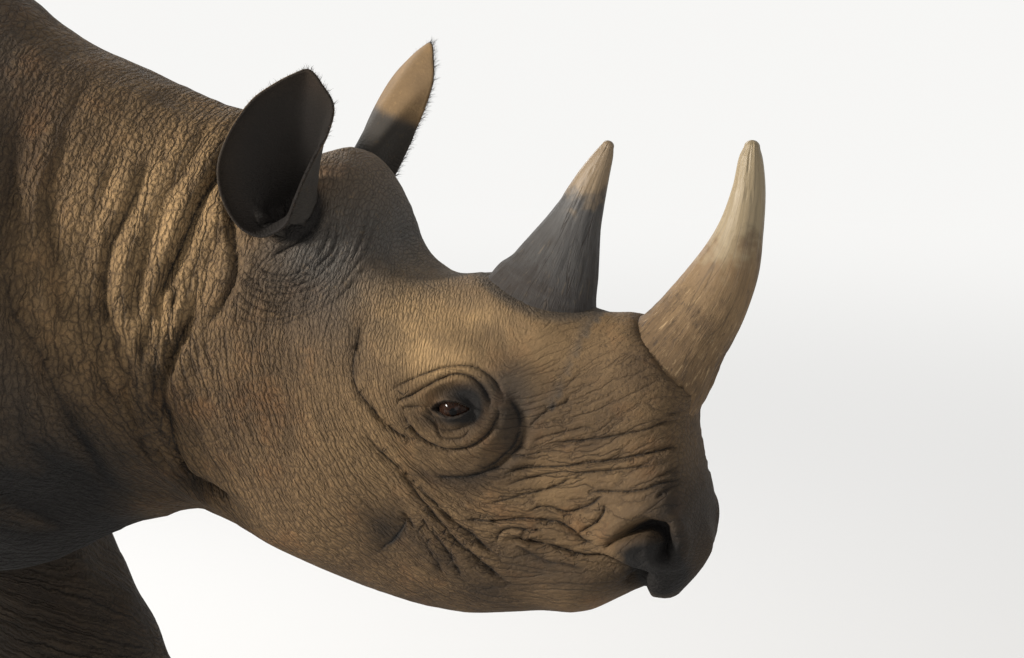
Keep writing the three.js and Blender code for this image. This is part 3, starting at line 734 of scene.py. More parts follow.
# Horns: packed fibres, worn smooth above, shaggy and dusty at the root
hornPlans = {  # u, v, w, radius fore and aft, radius sideways, in the head's frame
    "horn_front": {
        "sunk": (171, 0, 68, 72, 56),  # the end inside the head
        "rings": [(183, 0, 96, 76, 60), (198, 0, 128, 64, 57), (211, 0, 168, 54, 48),
                  (224, 0, 216, 47, 41), (232, 0, 268, 38, 33), (231, 0, 316, 27.5, 25),
                  (224, 0, 362, 20.5, 19), (214, 0, 398, 15, 13.5), (210, 0, 414, 9.5, 8.6)],
        "shaggy": 0.52,  # how far up the fibres stand apart
        "bands": 0.25,  # how deep the rings round it are
        "banded": False,  # whether they show in the colour
        "seed": 3,
        "low": (98, 77, 52),
        "middle": (116, 93, 64),
        "high": (138, 122, 94),
        "turns": (0.38, 0.63),  # where along the horn those colours change
        "collar": (15, 30),  # height and reach of the raised hide round it
    },
    "horn_rear": {
        "sunk": (27, 0, 88, 76, 50),
        "rings": [(27, 0, 104, 78, 52), (28, 0, 140, 72, 46), (31, 0, 172, 58, 38), (33, 0, 206, 46, 31),
                  (35, 0, 250, 31, 23), (37, 0, 300, 20, 16), (40, 0, 332, 12, 10), (41, 0, 346, 7.2, 6.2)],
        "shaggy": 0.3,
        "bands": 1.0,
        "banded": True,
        "seed": 8,
        # the dark lower part is partly the horn's own colour and partly painted shadow; its turn to the
        # pale tip is a painted shadow edge
        "low": (55, 52, 50),
        "middle": (62, 60, 58),
        "high": (122, 104, 80),
        "turns": (0.34, 0.70),
        "collar": (6, 14),
    },
}

# The eye's opening, the nostril and the lip, in the head's frame
facePlan = {
    "eyeBall": 21.0,
    "eyeDeep": 104.0,  # the ball's middle, from the head's midplane
    "lidBall": 25.0,  # the ball that the lids lie on
    "lidReach": (21, 37),  # where the lids leave that ball and meet the head
    "lidSink": 6,  # the most that the lids sink into the head
    "lidEdges": [(1.6, 2.6, 2.2), (-1.6, 7.5, 2.0)],  # rise, distance from the opening, width
    "lidRim": (-0.4, 1.4),  # how the skin turns in at the opening
    "behindBall": 3.5,  # how far the skin lies behind the eyeball's front
    "opening": (22.5, 10.2, 8.4),  # half its length, then its height above and below its corners
    "openingTurn": 20,
    "nostril": [(294, -76, 9), (293, -58, 12), (283, -46, 14), (268, -47, 12), (255, -56, 9.5),
                (243, -68, 6.5), (232, -82, 4), (224, -93, 2.5)],  # u, w and radius
    "nostrilDepth": 34,
    "nostrilWall": (2.5, -13),  # from the opening's edge, where the hollow starts and where it is deep
    "nostrilRim": (6.0, 9, 8),  # height, distance from the opening, width
    "notch": ((262, -146), (279, -116)),  # the groove behind the lip's tip
    "notchDepth": 15,
    "notchWidth": 6.5,
    "lipTip": (297, -130),
    "lipSwell": 7,
    "lipReach": 16,
    "chinRise": 15,  # how far the lower lip draws up towards the notch
    "chin": ((185, 258), (284, 272), (-100, -128)),  # where it does: along u from and to, then down w
    "mouthWide": (80, 45),  # the notch and the chin fade out at this distance from the midline
    "lipWide": (60, 25),  # and the lip's tip at this one
}


def eyePlace(local):  # along and across the eye's opening
    turn = math.radians(facePlan["openingTurn"])
    c, s = math.cos(turn), math.sin(turn)
    return local[:, 0] * c + local[:, 2] * s, local[:, 2] * c - local[:, 0] * s


def eyeGap(local):  # how far inside the opening, in millimetres; negative on the lids
    along, across = eyePlace(local)
    half, above, below = facePlan["opening"]
    arch = 1 - (along / half) ** 2
    edge = np.where(across > 0, above * np.sign(arch) * abs(arch) ** 0.8, below * arch)
    return edge - abs(across)


def openEyes(mesh, plan):
    points = meshPoints(mesh)
    local = toHead(points)
    side = np.sign(local[:, 1])
    depth = abs(local[:, 1])
    away = np.hypot(local[:, 0], local[:, 2])
    near = (away < 60) & (depth > 70) & fleshy
    low, high = plan["lidReach"]
    lid = plan["eyeDeep"] + np.sqrt(np.maximum(plan["lidBall"] ** 2 - away ** 2, 30))
    gap = eyeGap(local)
    for rise, back, wide in plan["lidEdges"]:
        lid = lid + rise * bell(gap + back, wide)
    onLid = ease(high, low, away)
    wanted = depth * (1 - onLid) + np.maximum(lid, depth - plan["lidSink"]) * onLid
    ball = plan["eyeDeep"] + np.sqrt(np.maximum(plan["eyeBall"] ** 2 - away ** 2, 9)) - plan["behindBall"]
    inside = ease(*plan["lidRim"], gap) * (away < 40)
    wanted = wanted * (1 - inside) + ball * inside
    local[:, 1] = np.where(near, side * wanted, local[:, 1])
    setPoints(mesh, fromHead(local))


def chainGap(places, chain):  # distance from a run of circles (u, w, radius), negative inside
    best = np.full(len(places), np.inf)
    for (u, w, r), (u2, w2, r2) in zip(chain, chain[1:]):
        step = np.array((u2 - u, w2 - w))
        t = np.clip(((places - (u, w)) @ step) / (step @ step), 0, 1)
        gap = np.linalg.norm(places - (u, w) - t[:, None] * step, axis=1) - (r + (r2 - r) * t)
        best = np.minimum(best, gap)
    return best


def sculptMuzzle(mesh, plan):
    points = meshPoints(mesh)
    normals = pointNormals(mesh)
    local = toHead(points)
    places, sideways = local[:, (0, 2)], abs(local[:, 1])
    facing = ease(0.1, 0.6, normals @ leftAxis * np.sign(local[:, 1]))
    gap = chainGap(places, plan["nostril"])
    deep = plan["nostrilDepth"] * ease(*plan["nostrilWall"], gap) * facing
    high, far, wide = plan["nostrilRim"]
    rim = high * bell(gap - far, wide) * facing * ease(-110, -70, local[:, 2])
    inward = -normals * 0.35 - 0.65 * np.sign(local[:, 1])[:, None] * leftAxis
    move = normals * rim[:, None] + inward * deep[:, None]
    cut = chainGap(places, [(u, w, 0) for u, w in plan["notch"]])
    under = ease(*plan["mouthWide"], sideways)
    move -= normals * (plan["notchDepth"] * bell(cut, plan["notchWidth"]) * under)[:, None]
    start, stop, down = plan["chin"]
    rise = plan["chinRise"] * ease(*start, local[:, 0]) * ease(*stop, local[:, 0]) * under
    move += (rise * ease(*down, local[:, 2]))[:, None] * headAxes[2]
    tip = np.hypot(*(places - plan["lipTip"]).T)
    swollen = plan["lipSwell"] * bell(tip, plan["lipReach"]) * ease(*plan["lipWide"], sideways)
    move += normals * swollen[:, None]
    setPoints(mesh, points + move / 1000)
    # painted shade inside the nostril
    return ease(-1, -8, gap) * facing


# Folds of the body, as lines of (x, z) on its sides, in millimetres
bodyFolds = {
    "behindEar": ([(806, 1262), (792, 1222), (766, 1176), (745, 1120), (729, 1080),
                   (722, 1036)], 13, 8, (3, 4)),
    "underEar": ([(806, 1206), (813, 1150), (819, 1108), (806, 1070), (782, 1036)], 8, 6, (2, 3)),
    "neckBand": ([(772, 1290), (748, 1218), (722, 1160), (702, 1090), (706, 1040)], 3, 9, (2, 2)),
    "neckCurve": ([(712, 1258), (688, 1180), (670, 1138), (664, 1087), (670, 1040), (686, 980),
                   (700, 925), (721, 884), (744, 840)], 6, 8, (3, 3)),
    "neckBack": ([(676, 1258), (653, 1182), (643, 1128), (649, 1051), (668, 968),
                  (688, 900)], 3.5, 10, (2, 2)),
    "throatDeep": ([(777, 1078), (755, 1033), (739, 997), (731, 963), (739, 929), (743, 880),
                    (753, 850), (790, 830), (826, 806)], 15, 7, (3, 5)),
    "throatNext": ([(733, 1080), (727, 1038), (722, 1000), (724, 955), (728, 905),
                    (738, 868)], 10, 5.5, (3, 3)),
    "throatThird": ([(706, 1050), (702, 1000), (706, 950), (716, 900), (730, 856)], 8, 5, (2, 3)),
    "throatShort": ([(752, 1100), (742, 1060), (736, 1020), (738, 985)], 9, 5, (3, 3)),
    "throatCord1": ([(694, 1010), (690, 960), (700, 905), (716, 860)], 6, 4.5, (2, 2)),
    "throatCord2": ([(716, 1075), (712, 1030), (713, 985), (716, 930), (730, 880)], 7, 4.5, (2, 3)),
    "neckBase": ([(560, 1330), (552, 1230), (548, 1150), (572, 1070), (600, 998), (624, 925),
                  (645, 862), (672, 808)], 7, 14, (4, 2)),
    "neckUpper": ([(628, 1350), (606, 1270), (598, 1190), (606, 1110), (628, 1040)], 2.5, 10, (1, 1)),
    "shoulderFront": ([(470, 1240), (448, 1120), (462, 1000), (500, 900), (548, 820),
                       (600, 770)], 9, 18, (4, 5)),
    "shoulderTop": ([(330, 1370), (300, 1270), (262, 1180), (205, 1090)], 6, 20, (4, 4)),
    "behindShoulder": ([(60, 1330), (20, 1200), (0, 1060), (20, 920), (70, 790),
                        (140, 690)], 13, 24, (7, 7)),
    "behindShoulderLow": ([(-60, 1160), (-80, 1010), (-50, 860), (10, 740), (90, 640)], 7, 20, (4, 4)),
    "elbow": ([(150, 720), (200, 660), (262, 622), (330, 610)], 9, 16, (4, 4)),
    "elbowLow": ([(180, 640), (240, 580), (310, 560), (390, 560)], 6, 13, (3, 3)),
    "armFold": ([(300, 860), (250, 790), (200, 740), (140, 700)], 6, 16, (3, 3)),
    "ribs1": ([(-230, 1200), (-262, 1060), (-250, 900), (-200, 760)], 4, 26, (2, 2)),
    "ribs2": ([(-380, 1200), (-412, 1060), (-400, 900), (-350, 750)], 4, 26, (2, 2)),
    "flank": ([(-760, 1290), (-700, 1160), (-672, 1000), (-690, 860), (-740, 720),
               (-800, 620)], 14, 26, (7, 7)),
    "flankLow": ([(-600, 900), (-620, 800), (-680, 690), (-740, 600)], 8, 20, (4, 4)),
    "thighBack": ([(-1290, 1080), (-1262, 960), (-1222, 820), (-1216, 680)], 7, 22, (4, 4)),
    "thighRow1": ([(-1180, 1020), (-1160, 900), (-1136, 780), (-1130, 660)], 5, 20, (3, 3)),
    "thighRow2": ([(-1060, 1060), (-1030, 930), (-1010, 800), (-1020, 680)], 5, 20, (3, 3)),
    "stifle": ([(-760, 640), (-840, 560), (-930, 520), (-1020, 520)], 8, 16, (4, 4)),
    "rump": ([(-1380, 1230), (-1350, 1120), (-1330, 1000), (-1310, 880)], 8, 20, (4, 4)),
    "hipTop": ([(-900, 1330), (-960, 1230), (-1000, 1130)], 5, 24, (3, 3)),
}


bodyPlan = {
    "ahead": (-200, -250),  # along the head's u, where the body's folds begin
    "facing": (0.1, 0.55),
    "fine": ((0.46, 0.6), (0.74, 0.8)),  # x and z from which the mesh can hold a crease, in metres
    "grain": 60,
    "reach": 8.0,
    "crease": 2.4,  # half the width of a crease's line of painted shade, in millimetres
}


def sculptBody(mesh, plan):
    points = meshPoints(mesh)
    normals = pointNormals(mesh)
    creases = noCreases(len(points))
    ahead = ease(*plan["ahead"], toHead(points)[:, 0])
    facing = ease(*plan["facing"], abs(normals[:, 1]))
    along, up = plan["fine"]
    fine = ease(*along, points[:, 0]) * ease(*up, points[:, 2])
    for side in (-1, 1):
        mine = (points[:, 1] * side > 0.02) & (ahead > 0) & fleshy
        places = points[mine][:, (0, 2)] * 1000
        height, lines = foldSkin(places, bodyFolds, side, plan["grain"], plan["reach"])
        share = facing[mine] * ahead[mine]
        points[mine] += normals[mine] * (height * share / 1000)[:, None]
        creases[mine] = lines * np.stack((0 * share + 1 / plan["crease"], share * fine[mine]), axis=1)
    setPoints(mesh, points)
    return creases


def hornGap(local, table):  # distance out from a horn's side, the horn's direction there and the way out
    rows = smoothLine(table, 4)
    which = nearest(local, rows[:, :3])
    row = rows[which]
    way = unitRows(np.gradient(rows[:, :3], axis=0))[which]
    out = local - row[:, :3]
    rise = (out * way).sum(axis=1)
    out = out - rise[:, None] * way
    fore = out[:, 0] * way[:, 2] - out[:, 2] * way[:, 0]
    share = np.hypot(fore / row[:, 3], out[:, 1] / row[:, 4])
    size = np.linalg.norm(out, axis=1)
    return size - size / np.maximum(share, 1e-6), way, out / np.maximum(size, 1e-6)[:, None]


collarPlan = {
    "start": (-14, -8),  # where inside the horn's side the hide starts to climb, in millimetres
    "uneven": 0.15,
    "grain": 20,
    "clear": 0.8,  # how far it is drawn in from where the climb leaves it
    "tuck": 11,  # how much further where it faces up
    "tuckReach": (15, 8),
    "facingUp": (0.25, 0.7),
    "rim": (12, 6),  # how far from the horn's side it is smoothed
    "rounds": 6,
}


def byHorns(local):
    return (local[:, 0] > -120) & (local[:, 2] > 40)


def raiseCollars(mesh, collar):  # the hide climbs a little way up each horn
    points = meshPoints(mesh)
    local = toHead(points)
    normals = pointNormals(mesh) @ headAxes.T
    shaggy, rim = np.zeros(len(points)), np.zeros(len(points))
    near = np.flatnonzero(byHorns(local) & fleshy)
    for plan in hornPlans.values():
        height, reach = plan["collar"]
        gap, way = hornGap(local[near], plan["rings"])[:2]
        close = np.clip(1 - gap / reach, 0, 1)
        climb = close ** 2 * ease(*collar["start"], gap) * height
        climb *= 1 + collar["uneven"] * softNoise(local[near] / collar["grain"], 31)
        raised = local[near] + way * climb[:, None]
        newGap, way, out = hornGap(raised, plan["rings"])
        facingUp = ease(*collar["facingUp"], (normals[near] * way).sum(axis=1))
        tuck = collar["tuck"] * facingUp * ease(*collar["tuckReach"], gap) * (gap > -12)
        sink = (newGap - gap + collar["clear"]) * close * (gap > -8) + tuck
        raised -= out * sink[:, None]
        points[near] = fromHead(raised)
        shaggy[near] = np.maximum(shaggy[near], ease(reach * 3, 0, gap))
        rim[near] = np.maximum(rim[near], ease(*collar["rim"], abs(gap)))
    points = relax(points, neighbourMean(mesh), collar["rounds"], rim[:, None], 0.3)
    setPoints(mesh, points)
    return shaggy


def nearFolds(points, reach=6.0):
    local = toHead(points)
    found = np.zeros(len(points), bool)
    onHead = np.flatnonzero((local[:, 0] > -330) & (abs(local[:, 1]) > 30))
    places = local[onHead][:, (0, 2)]
    for line, *_ in headFolds.values():
        line = smoothLine(line, 4)
        close = np.all((places > line.min(0) - reach) & (places < line.max(0) + reach), axis=1)
        if close.any():
            gap = nearLine(places[close], line)[0]
            found[onHead[close]] |= gap < reach
    return found


def onThroat(points):
    inside = (points[:, 0] > 0.64) & (points[:, 0] < 0.86) & (points[:, 2] > 0.76) & (points[:, 2] < 1.27)
    return inside & (abs(points[:, 1]) > 0.07) & (toHead(points)[:, 0] < -215)


def nearHorns(points):
    local = toHead(points)
    near = np.flatnonzero(byHorns(local))
    found = np.zeros(len(points), bool)
    for plan in hornPlans.values():
        gap = hornGap(local[near], plan["rings"])[0]
        found[near] |= (gap > -5) & (gap < 13)
    return found


def nearSpot(centre, radius):
    def wanted(points):
        local = toHead(points)
        local[:, 1] = abs(local[:, 1])
        return np.linalg.norm(local - centre, axis=1) < radius
    return wanted


def onNeck(points):
    inside = (points[:, 0] > 0.42) & (points[:, 2] > 0.74) & (abs(points[:, 1]) > 0.05)
    return inside & (toHead(points)[:, 0] < -225)


eyeSpot, nostrilSpot = (0, 118, 0), (262, 60, -60)
finer = [  # where the mesh is made finer, and the longest edge left there, in metres
    (onNeck, 0.0085),
    (onThroat, 0.0066),
    (nearHorns, 0.0042),
    (nearSpot(eyeSpot, 60), 0.0036),
    (nearSpot(nostrilSpot, 62), 0.0036),
    (nearFolds, 0.0042),
    (nearSpot(eyeSpot, 40), 0.0018),
    (nearSpot(nostrilSpot, 50), 0.0024),
    (nearFolds, skinPlan["foldCell"]),
]
for wanted, longest in finer:
    refine(skinMesh, wanted, longest)
print("refined:", triangles(skinMesh), "triangles")
kindOfFace = faceKinds(skinMesh)
fleshy = ~touches(skinMesh, kindOfFace != bodyKind)  # points of the body itself, off the ears and tail
headCreases = sculptHead(skinMesh, headPlan)
nostrilShade = sculptMuzzle(skinMesh, facePlan)
openEyes(skinMesh, facePlan)
hornSkirt = raiseCollars(skinMesh, collarPlan)
bodyCreases = sculptBody(skinMesh, bodyPlan)
sharper = headCreases[:, 1] - bodyCreases[:, 1]
ofHead = (sharper > 0) | ((sharper == 0) & (abs(headCreases[:, 0]) < abs(bodyCreases[:, 0])))
skinCreases = np.where(ofHead[:, None], headCreases, bodyCreases)
print("folds sculpted")


# The lie of the skin: which way its wrinkles run and how wide its cells are
headLies = [  # u, w, turn in degrees (0 is across the head's length), cell in mm, reach, cracks, rows
    (-120, 150, 20, 6.0, 110, 0.85, 0.5),  # forehead
    (-30, 80, 30, 4.4, 60, 0.15, 0.1),  # brow
    (90, 110, 150, 4.5, 50, 0.15, 0.4),  # between the horns
    (165, 62, 150, 4.5, 50, 0.2, 0.75),
    (150, 0, 117, 4.6, 55, 0.25, 1.0),  # muzzle
    (280, 20, 105, 5.4, 60, 0.35, 1.0),
    (230, -50, 112, 4.8, 50, 0.2, 0.6),
    (180, -110, 100, 4.8, 50, 0.25, 0.7),  # lip
    (190, -150, 80, 4.9, 60, 0.4, 0.8),
    (90, -130, 80, 4.8, 45, 0.5, 0.9),
    (0, -140, 52, 4.6, 70, 0.65, 0.9),  # cheek
    (-90, -80, 25, 4.2, 80, 0.6, 0.7),
    (-110, 20, 20, 4.2, 60, 0.6, 0.3),
    (0, 0, 110, 4.0, 42, 0.3, 0.35),  # eye
    (10, -75, 95, 4.6, 40, 0.4, 0.5),
    (90, 20, 145, 4.4, 40, 0.2, 0.7),
    (90, -40, 122, 4.4, 40, 0.2, 0.9),
    (-230, 60, -30, 4.8, 60, 0.7, 0.8),  # temple
    (-220, -60, 8, 4.8, 90, 0.7, 0.7),
    (-120, -190, 45, 5.7, 90, 1.0, 0.6),  # under the jaw
    (-280, -160, 30, 6.1, 80, 1.0, 0.8),
]
bodyLies = [  # x, z, turn, cell, reach, cracks, rows
    (620, 1290, -28, 7.2, 120, 1.0, 0.7),  # neck
    (740, 1190, -18, 6.4, 90, 0.9, 1.5),
    (680, 1040, 0, 6.4, 90, 0.9, 1.6),
    (760, 980, 8, 6.0, 80, 0.9, 1.6),
    (750, 860, 20, 6.0, 70, 0.9, 1.6),
    (650, 900, 24, 6.8, 90, 1.0, 1.0),
    (660, 800, 75, 6.5, 60, 0.8, 0.5),
    (560, 1150, -12, 8.0, 150, 1.0, 0.9),
    (350, 1100, -4, 10.0, 250, 1.0, 0.8),  # shoulder
    (560, 760, 60, 10.0, 120, 1.0, 0.7),
    (100, 1350, -10, 11.0, 250, 1.0, 0.5),
    (-100, 1000, 0, 12.0, 300, 0.9, 0.5),
    (-500, 950, 5, 13.0, 300, 0.9, 0.45),
    (-400, 600, 0, 12.0, 200, 0.9, 0.45),
    (-1000, 1000, -15, 13.0, 300, 1.0, 0.5),
    (-1350, 1050, -30, 12.0, 200, 1.0, 0.5),
]
legLies = [  # x, z, cell, reach, cracks, rows: lines run round the leg
    (420, 480, 10.2, 170, 1.0, 1.0),
    (420, 220, 9.3, 150, 1.0, 1.0),
    (420, 40, 7.6, 120, 0.8, 0.5),
    (-1060, 460, 10.2, 170, 1.0, 1.0),
    (-1060, 220, 9.3, 150, 1.0, 1.0),
    (-1060, 40, 7.6, 120, 0.8, 0.5),
]


def flat(direction, normals):  # a direction laid in the surface, of length 1
    laid = direction - normals * (normals @ direction)[:, None]
    return laid / np.maximum(np.linalg.norm(laid, axis=1), 1e-4)[:, None]


def crossing(axis, up, normals):  # the surface direction square to an axis, with `up` as its positive side
    made = np.cross(axis, normals)
    made *= np.sign(made @ up)[:, None]
    return made / np.maximum(np.linalg.norm(made, axis=1), 1e-4)[:, None]


def lieOfSkin(points, normals):
    local = toHead(points)
    mm = points * 1000
    sideways, upward = np.zeros_like(points), np.zeros_like(points)
    sums = np.zeros((len(points), 4))
    forward, up = np.array((1.0, 0, 0)), np.array((0, 0, 1.0))

    def add(places, lies, axis, top):
        a, c = flat(axis, normals), crossing(axis, top, normals)
        for u, w, turn, cell, reach, cracks, rows in lies:
            away = (places[:, 0] - u) ** 2 + (places[:, 1] - w) ** 2
            weight = np.exp(-away / reach ** 2) + 1e-3 / (1 + away / reach ** 2) ** 2
            cos, sin = math.cos(math.radians(turn)), math.sin(math.radians(turn))
            sideways[:] += weight[:, None] * (a * cos + c * sin)
            upward[:] += weight[:, None] * (c * cos - a * sin)
            sums[:] += weight[:, None] * np.array((cell, cracks, rows, 1))
    add(local[:, (0, 2)], headLies, noseAxis, headAxes[2])
    add(mm[:, (0, 2)], bodyLies, forward, up)
    add(mm[:, (0, 2)], [(x, z, 0, *rest) for x, z, *rest in legLies], up, forward)
    for name in earPlan["stands"]:
        root, axes = earFrame(name)
        inEar = (toHead(points) - root) @ axes.T
        mine = ~fleshy & (np.linalg.norm(inEar, axis=1) < 300) & (local[:, 1] * root[1] > 0)
        sideways[mine] = flat(axes[1] @ headAxes, normals[mine])
        upward[mine] = crossing(axes[1] @ headAxes, axes[0] @ headAxes, normals[mine])
        low = ease(110, 60, inEar[mine, 1])
        sums[mine] = np.stack((4.5 + 0 * low, 0.1 + 0.35 * low, 0.0 * low, 1 + 0 * low), axis=1)
    onTail = ~fleshy & (points[:, 0] < -1.2)
    sideways[onTail] = flat(up, normals[onTail])
    upward[onTail] = crossing(up, forward, normals[onTail])
    sums[onTail] = (8.0, 0.9, 0.8, 1)
    cell, cracks, rows = (sums[:, :3] / sums[:, 3:]).T
    for field in (sideways, upward):
        field /= np.maximum(np.linalg.norm(field, axis=1) * cell / 1000, 1e-5)[:, None]
    return sideways, upward, cell, cracks, rows


def solveField(mesh, points, wants, rounds=700):  # values whose slopes come nearest to the wanted ones
    a, b = edgeEnds(mesh)
    count = len(points)
    step = points[b] - points[a]

    def spread(values):
        return np.bincount(b, values, count) - np.bincount(a, values, count)
    degree = np.bincount(np.concatenate((a, b)), minlength=count)
    fields = []
    for want in wants:
        value = np.zeros(count)
        left = spread((((want[a] + want[b]) / 2) * step).sum(axis=1))
        evened = left / degree
        ahead = evened.copy()
        size = left @ evened
        for _ in range(rounds):
            pushed = spread(ahead[b] - ahead[a])
            pace = size / (ahead @ pushed)
            value += pace * ahead
            left -= pace * pushed
            evened = left / degree
            now = left @ evened
            ahead = evened + ahead * (now / size)
            size = now
        fields.append(value)
    return fields


skinPoints, skinNormals = meshPoints(skinMesh), pointNormals(skinMesh)
sideways, upward, skinCell, skinCracks, skinRows = lieOfSkin(skinPoints, skinNormals)
noseFront = ease(80, 40, abs(toHead(skinPoints)[:, 1])) * ease(190, 250, toHead(skinPoints)[:, 0])
skinRows *= 1 - 0.8 * noseFront
skinCracks += 0.4 * noseFront
acrossLie, alongLie = solveField(skinMesh, skinPoints, (sideways, upward))
print("lie of the skin solved: %.0f by %.0f cells" % (np.ptp(acrossLie), np.ptp(alongLie)))


def rowsOfSkin(points):  # the wrinkles that are large enough for the mesh
    side = np.sign(points[:, 1]) * 7.3
    height = np.zeros(len(points))
    for wide, long, depth, seed in ((3.0, 10, 0.8, 11), (6.5, 24, 1.2, 12)):
        wave = softNoise(np.stack((acrossLie / wide, alongLie / long, side), axis=1), seed)
        height += depth * (abs(wave) * 1.6 - 0.55)
    height *= skinRows * skinCell * 0.22
    return np.where(fleshy, height, 0)


rowHeight = rowsOfSkin(skinPoints)
skinPoints += skinNormals * (rowHeight / 1000)[:, None]
skinPoints[:, 2] = np.maximum(skinPoints[:, 2], 0)
setPoints(skinMesh, skinPoints)


# Where the hide is dusty, dark or grey: middle (u, w), radii, turn, then how much of each; much of the dark
# and some of the grey is painted shade
headTints = [
    ((-150, 150), (134, 92), 20, -0.1, 0.0, 1.0),  # forehead, grey as painted shade
    ((-60, 66), (92, 44), -20, 0.95, -0.12, 0.0),  # brow
    ((20, 112), (95, 30), 0, 0.3, 0.0, 0.0),  # round the rear horn
    ((-14, 108), (22, 12), 30, 0.5, 0.0, 0.0),
    ((150, 96), (60, 34), 30, -0.3, 0.15, 0.0),  # under the front horn: painted shade
    ((150, 50), (62, 34), 10, -0.25, 0.3, 0.0),
    ((58, 44), (40, 26), -30, -0.2, 0.16, 0.35),
    ((215, 10), (70, 60), 20, -0.15, 0.1, 0.0),  # muzzle
    ((150, -50), (70, 26), 20, 0.25, -0.05, 0.0),
    # front of the nose, darkened as painted shade
    ((310, 0), (44, 130), 0, -0.4, 0.82, 0.2),
    ((282, -100), (44, 40), 0, -0.5, 0.9, -0.3),  # lip's tip, darkened as painted shade
    # along the mouth and under the lower jaw: painted shade
    ((200, -146), (110, 26), 8, -0.5, 0.6, 0.0),
    ((60, -192), (110, 24), -14, -0.4, 0.5, 0.0),
    ((8, 24), (30, 16), 22, -0.6, 0.9, 0.0),  # lids, darkened as painted shade
    ((27, 8), (13, 16), 0, -0.6, 0.9, 0.0),
    ((4, -12), (28, 10), 20, -0.5, 0.75, 0.0),
    ((0, 0), (52, 50), 0, -0.15, 0.22, 0.0),
    ((70, 2), (16, 44), 14, -0.4, 0.6, 0.1),  # hollow before and under the eye: painted shade
    ((60, -62), (34, 14), 42, -0.4, 0.5, 0.0),
    ((16, -88), (46, 9), 12, -0.2, 0.45, 0.0),
    ((284, -98), (22, 20), 20, -0.5, 0.5, 0.0),  # under the nostril and beside it: painted shade; the pale spot on the nostril's lobe is a painted highlight
    ((236, -94), (14, 9), -30, 0.3, -0.1, 0.0),
    ((262, -84), (32, 24), 0, -0.3, 0.25, 0.0),
    ((194, -48), (36, 18), 20, -0.35, 0.22, 0.0),
    # hollow behind the jaw: painted shade
    ((-34, -176), (24, 40), -10, -0.3, 0.6, 0.0),
    ((-100, -70), (110, 90), 0, 0.3, 0.0, 0.0),  # cheek
    ((-196, -100), (60, 80), 0, -0.15, 0.06, 0.0),  # back of the jaw
    ((-225, 105), (40, 40), 0, 0.0, 0.1, 0.4),  # below the ear, grey and dark as painted shade
    ((-266, 0), (60, 80), 0, 0.1, 0.0, 0.0),
    ((-292, -225), (40, 30), 0, -0.4, 0.6, 0.0),  # throat, darkened as painted shade
]


bodyTints = {  # how much dust, dark and grey each part of the body has; the dark on the underside, trunk and chest is painted shade
    "all": (0.14, 0.0, 0.0),
    "upward": (0.2, 0.0, 0.0),
    # darker where the skin faces down: painted shade
    "downward": (0.0, 0.3, 0.0),
    # darker on the trunk: painted shade
    "trunk": (-0.1, 0.3, 0.35),
    "feet": (0.4, 0.0, 0.0),
    "neck": (0.55, 0.0, 0.0),
    "nape": (-0.3, 0.1, 0.0),
    # chest and shoulder, darkened as painted shade
    "chest": (0.0, 0.45, 0.0),
}


def bodyParts(points, normals):  # how far each point belongs to each of those parts
    x, z = points[:, 0], points[:, 2]
    trunk = ease(0.03, -0.07, x - 0.55 - 0.13 * ease(1.15, 0.82, z))
    return {
        "all": 1 + 0 * x,
        "upward": ease(0.2, 0.9, normals[:, 2]),
        "downward": ease(-0.1, -0.8, normals[:, 2]),
        "trunk": trunk,
        "feet": trunk * ease(0.3, 0.02, z),
        "neck": bell(x - 0.74, 0.12) * ease(0.95, 1.08, z) * ease(1.3, 1.2, z),
        "nape": bell(x - 0.57, 0.11) * ease(1.16, 1.26, z),
        "chest": ease(1.04, 0.86, z) * ease(0.3, 0.5, x),
    }


tintPlan = {
    "rowDeep": (0.02, 0.26),  # painted shade darkens a row of wrinkles over these depths, as shares of its cell
    "rowDark": (0.12, 0.14),  # how much on the body, and how much more on the head
    # painted shade along the creases
    "creaseDark": 0.38,
    "creaseWide": 2.6,
    # painted shade round the eye's opening
    "lidDark": 0.9,
    "lidEdge": (-6.5, -0.8),  # from the eye's opening, in millimetres
    "rootDust": 0.1,  # the hide round both horns
    "rearRoot": (0.5, 0.9),  # painted shade, dark and grey, on the hide at the rear horn
    "stalk": (134, 118),  # up the ear, where its outside changes from painted shade below to painted light above
    "earTip": (0.4, 0.05, 0.1),  # dust, dark and grey outside the ear above that: pale, as painted light
    # below it, dark and grey as painted shade
    "earFoot": (-0.1, 0.67, 1.0),
    # inside the ear, dark as painted shade
    "earInside": (-0.3, 0.72, 0.0),
    "earDeep": 0.26,  # how much more painted shade its depth has
}


def tintEars(mesh, local, tints, plan):
    outer, inner = (touches(mesh, kindOfFace == kind) for kind in (earKind, hollowKind))
    for name in earPlan["stands"]:
        root, axes = earFrame(name)
        across, along, out = ((local - root) @ axes.T).T
        mine = (np.linalg.norm(local - root, axis=1) < 260) & (local[:, 1] * root[1] > 0)
        # outside: painted shade on the stalk, painted light towards the tip
        low = ease(*plan["stalk"], along)[:, None]
        outside = np.array(plan["earTip"]) * (1 - low) + np.array(plan["earFoot"]) * low
        # inside: painted shade, more of it deeper in the hollow
        deep = ease(150, 40, np.hypot(across * 0.8, (along - 90) * 0.6))[:, None]
        inside = np.array(plan["earInside"]) + deep * (0, plan["earDeep"], 0)
        tints[mine & outer] = outside[mine & outer]
        tints[mine & inner] = inside[mine & inner]
        floor = ease(38, 26, np.hypot(across, out)) * ease(-6, 4, along) * (mine & fleshy)
        tints[:, 1] = np.maximum(tints[:, 1], 0.96 * floor)  # painted shade on the head's skin at the foot of the hollow
        tints[:, 0] -= 0.5 * floor


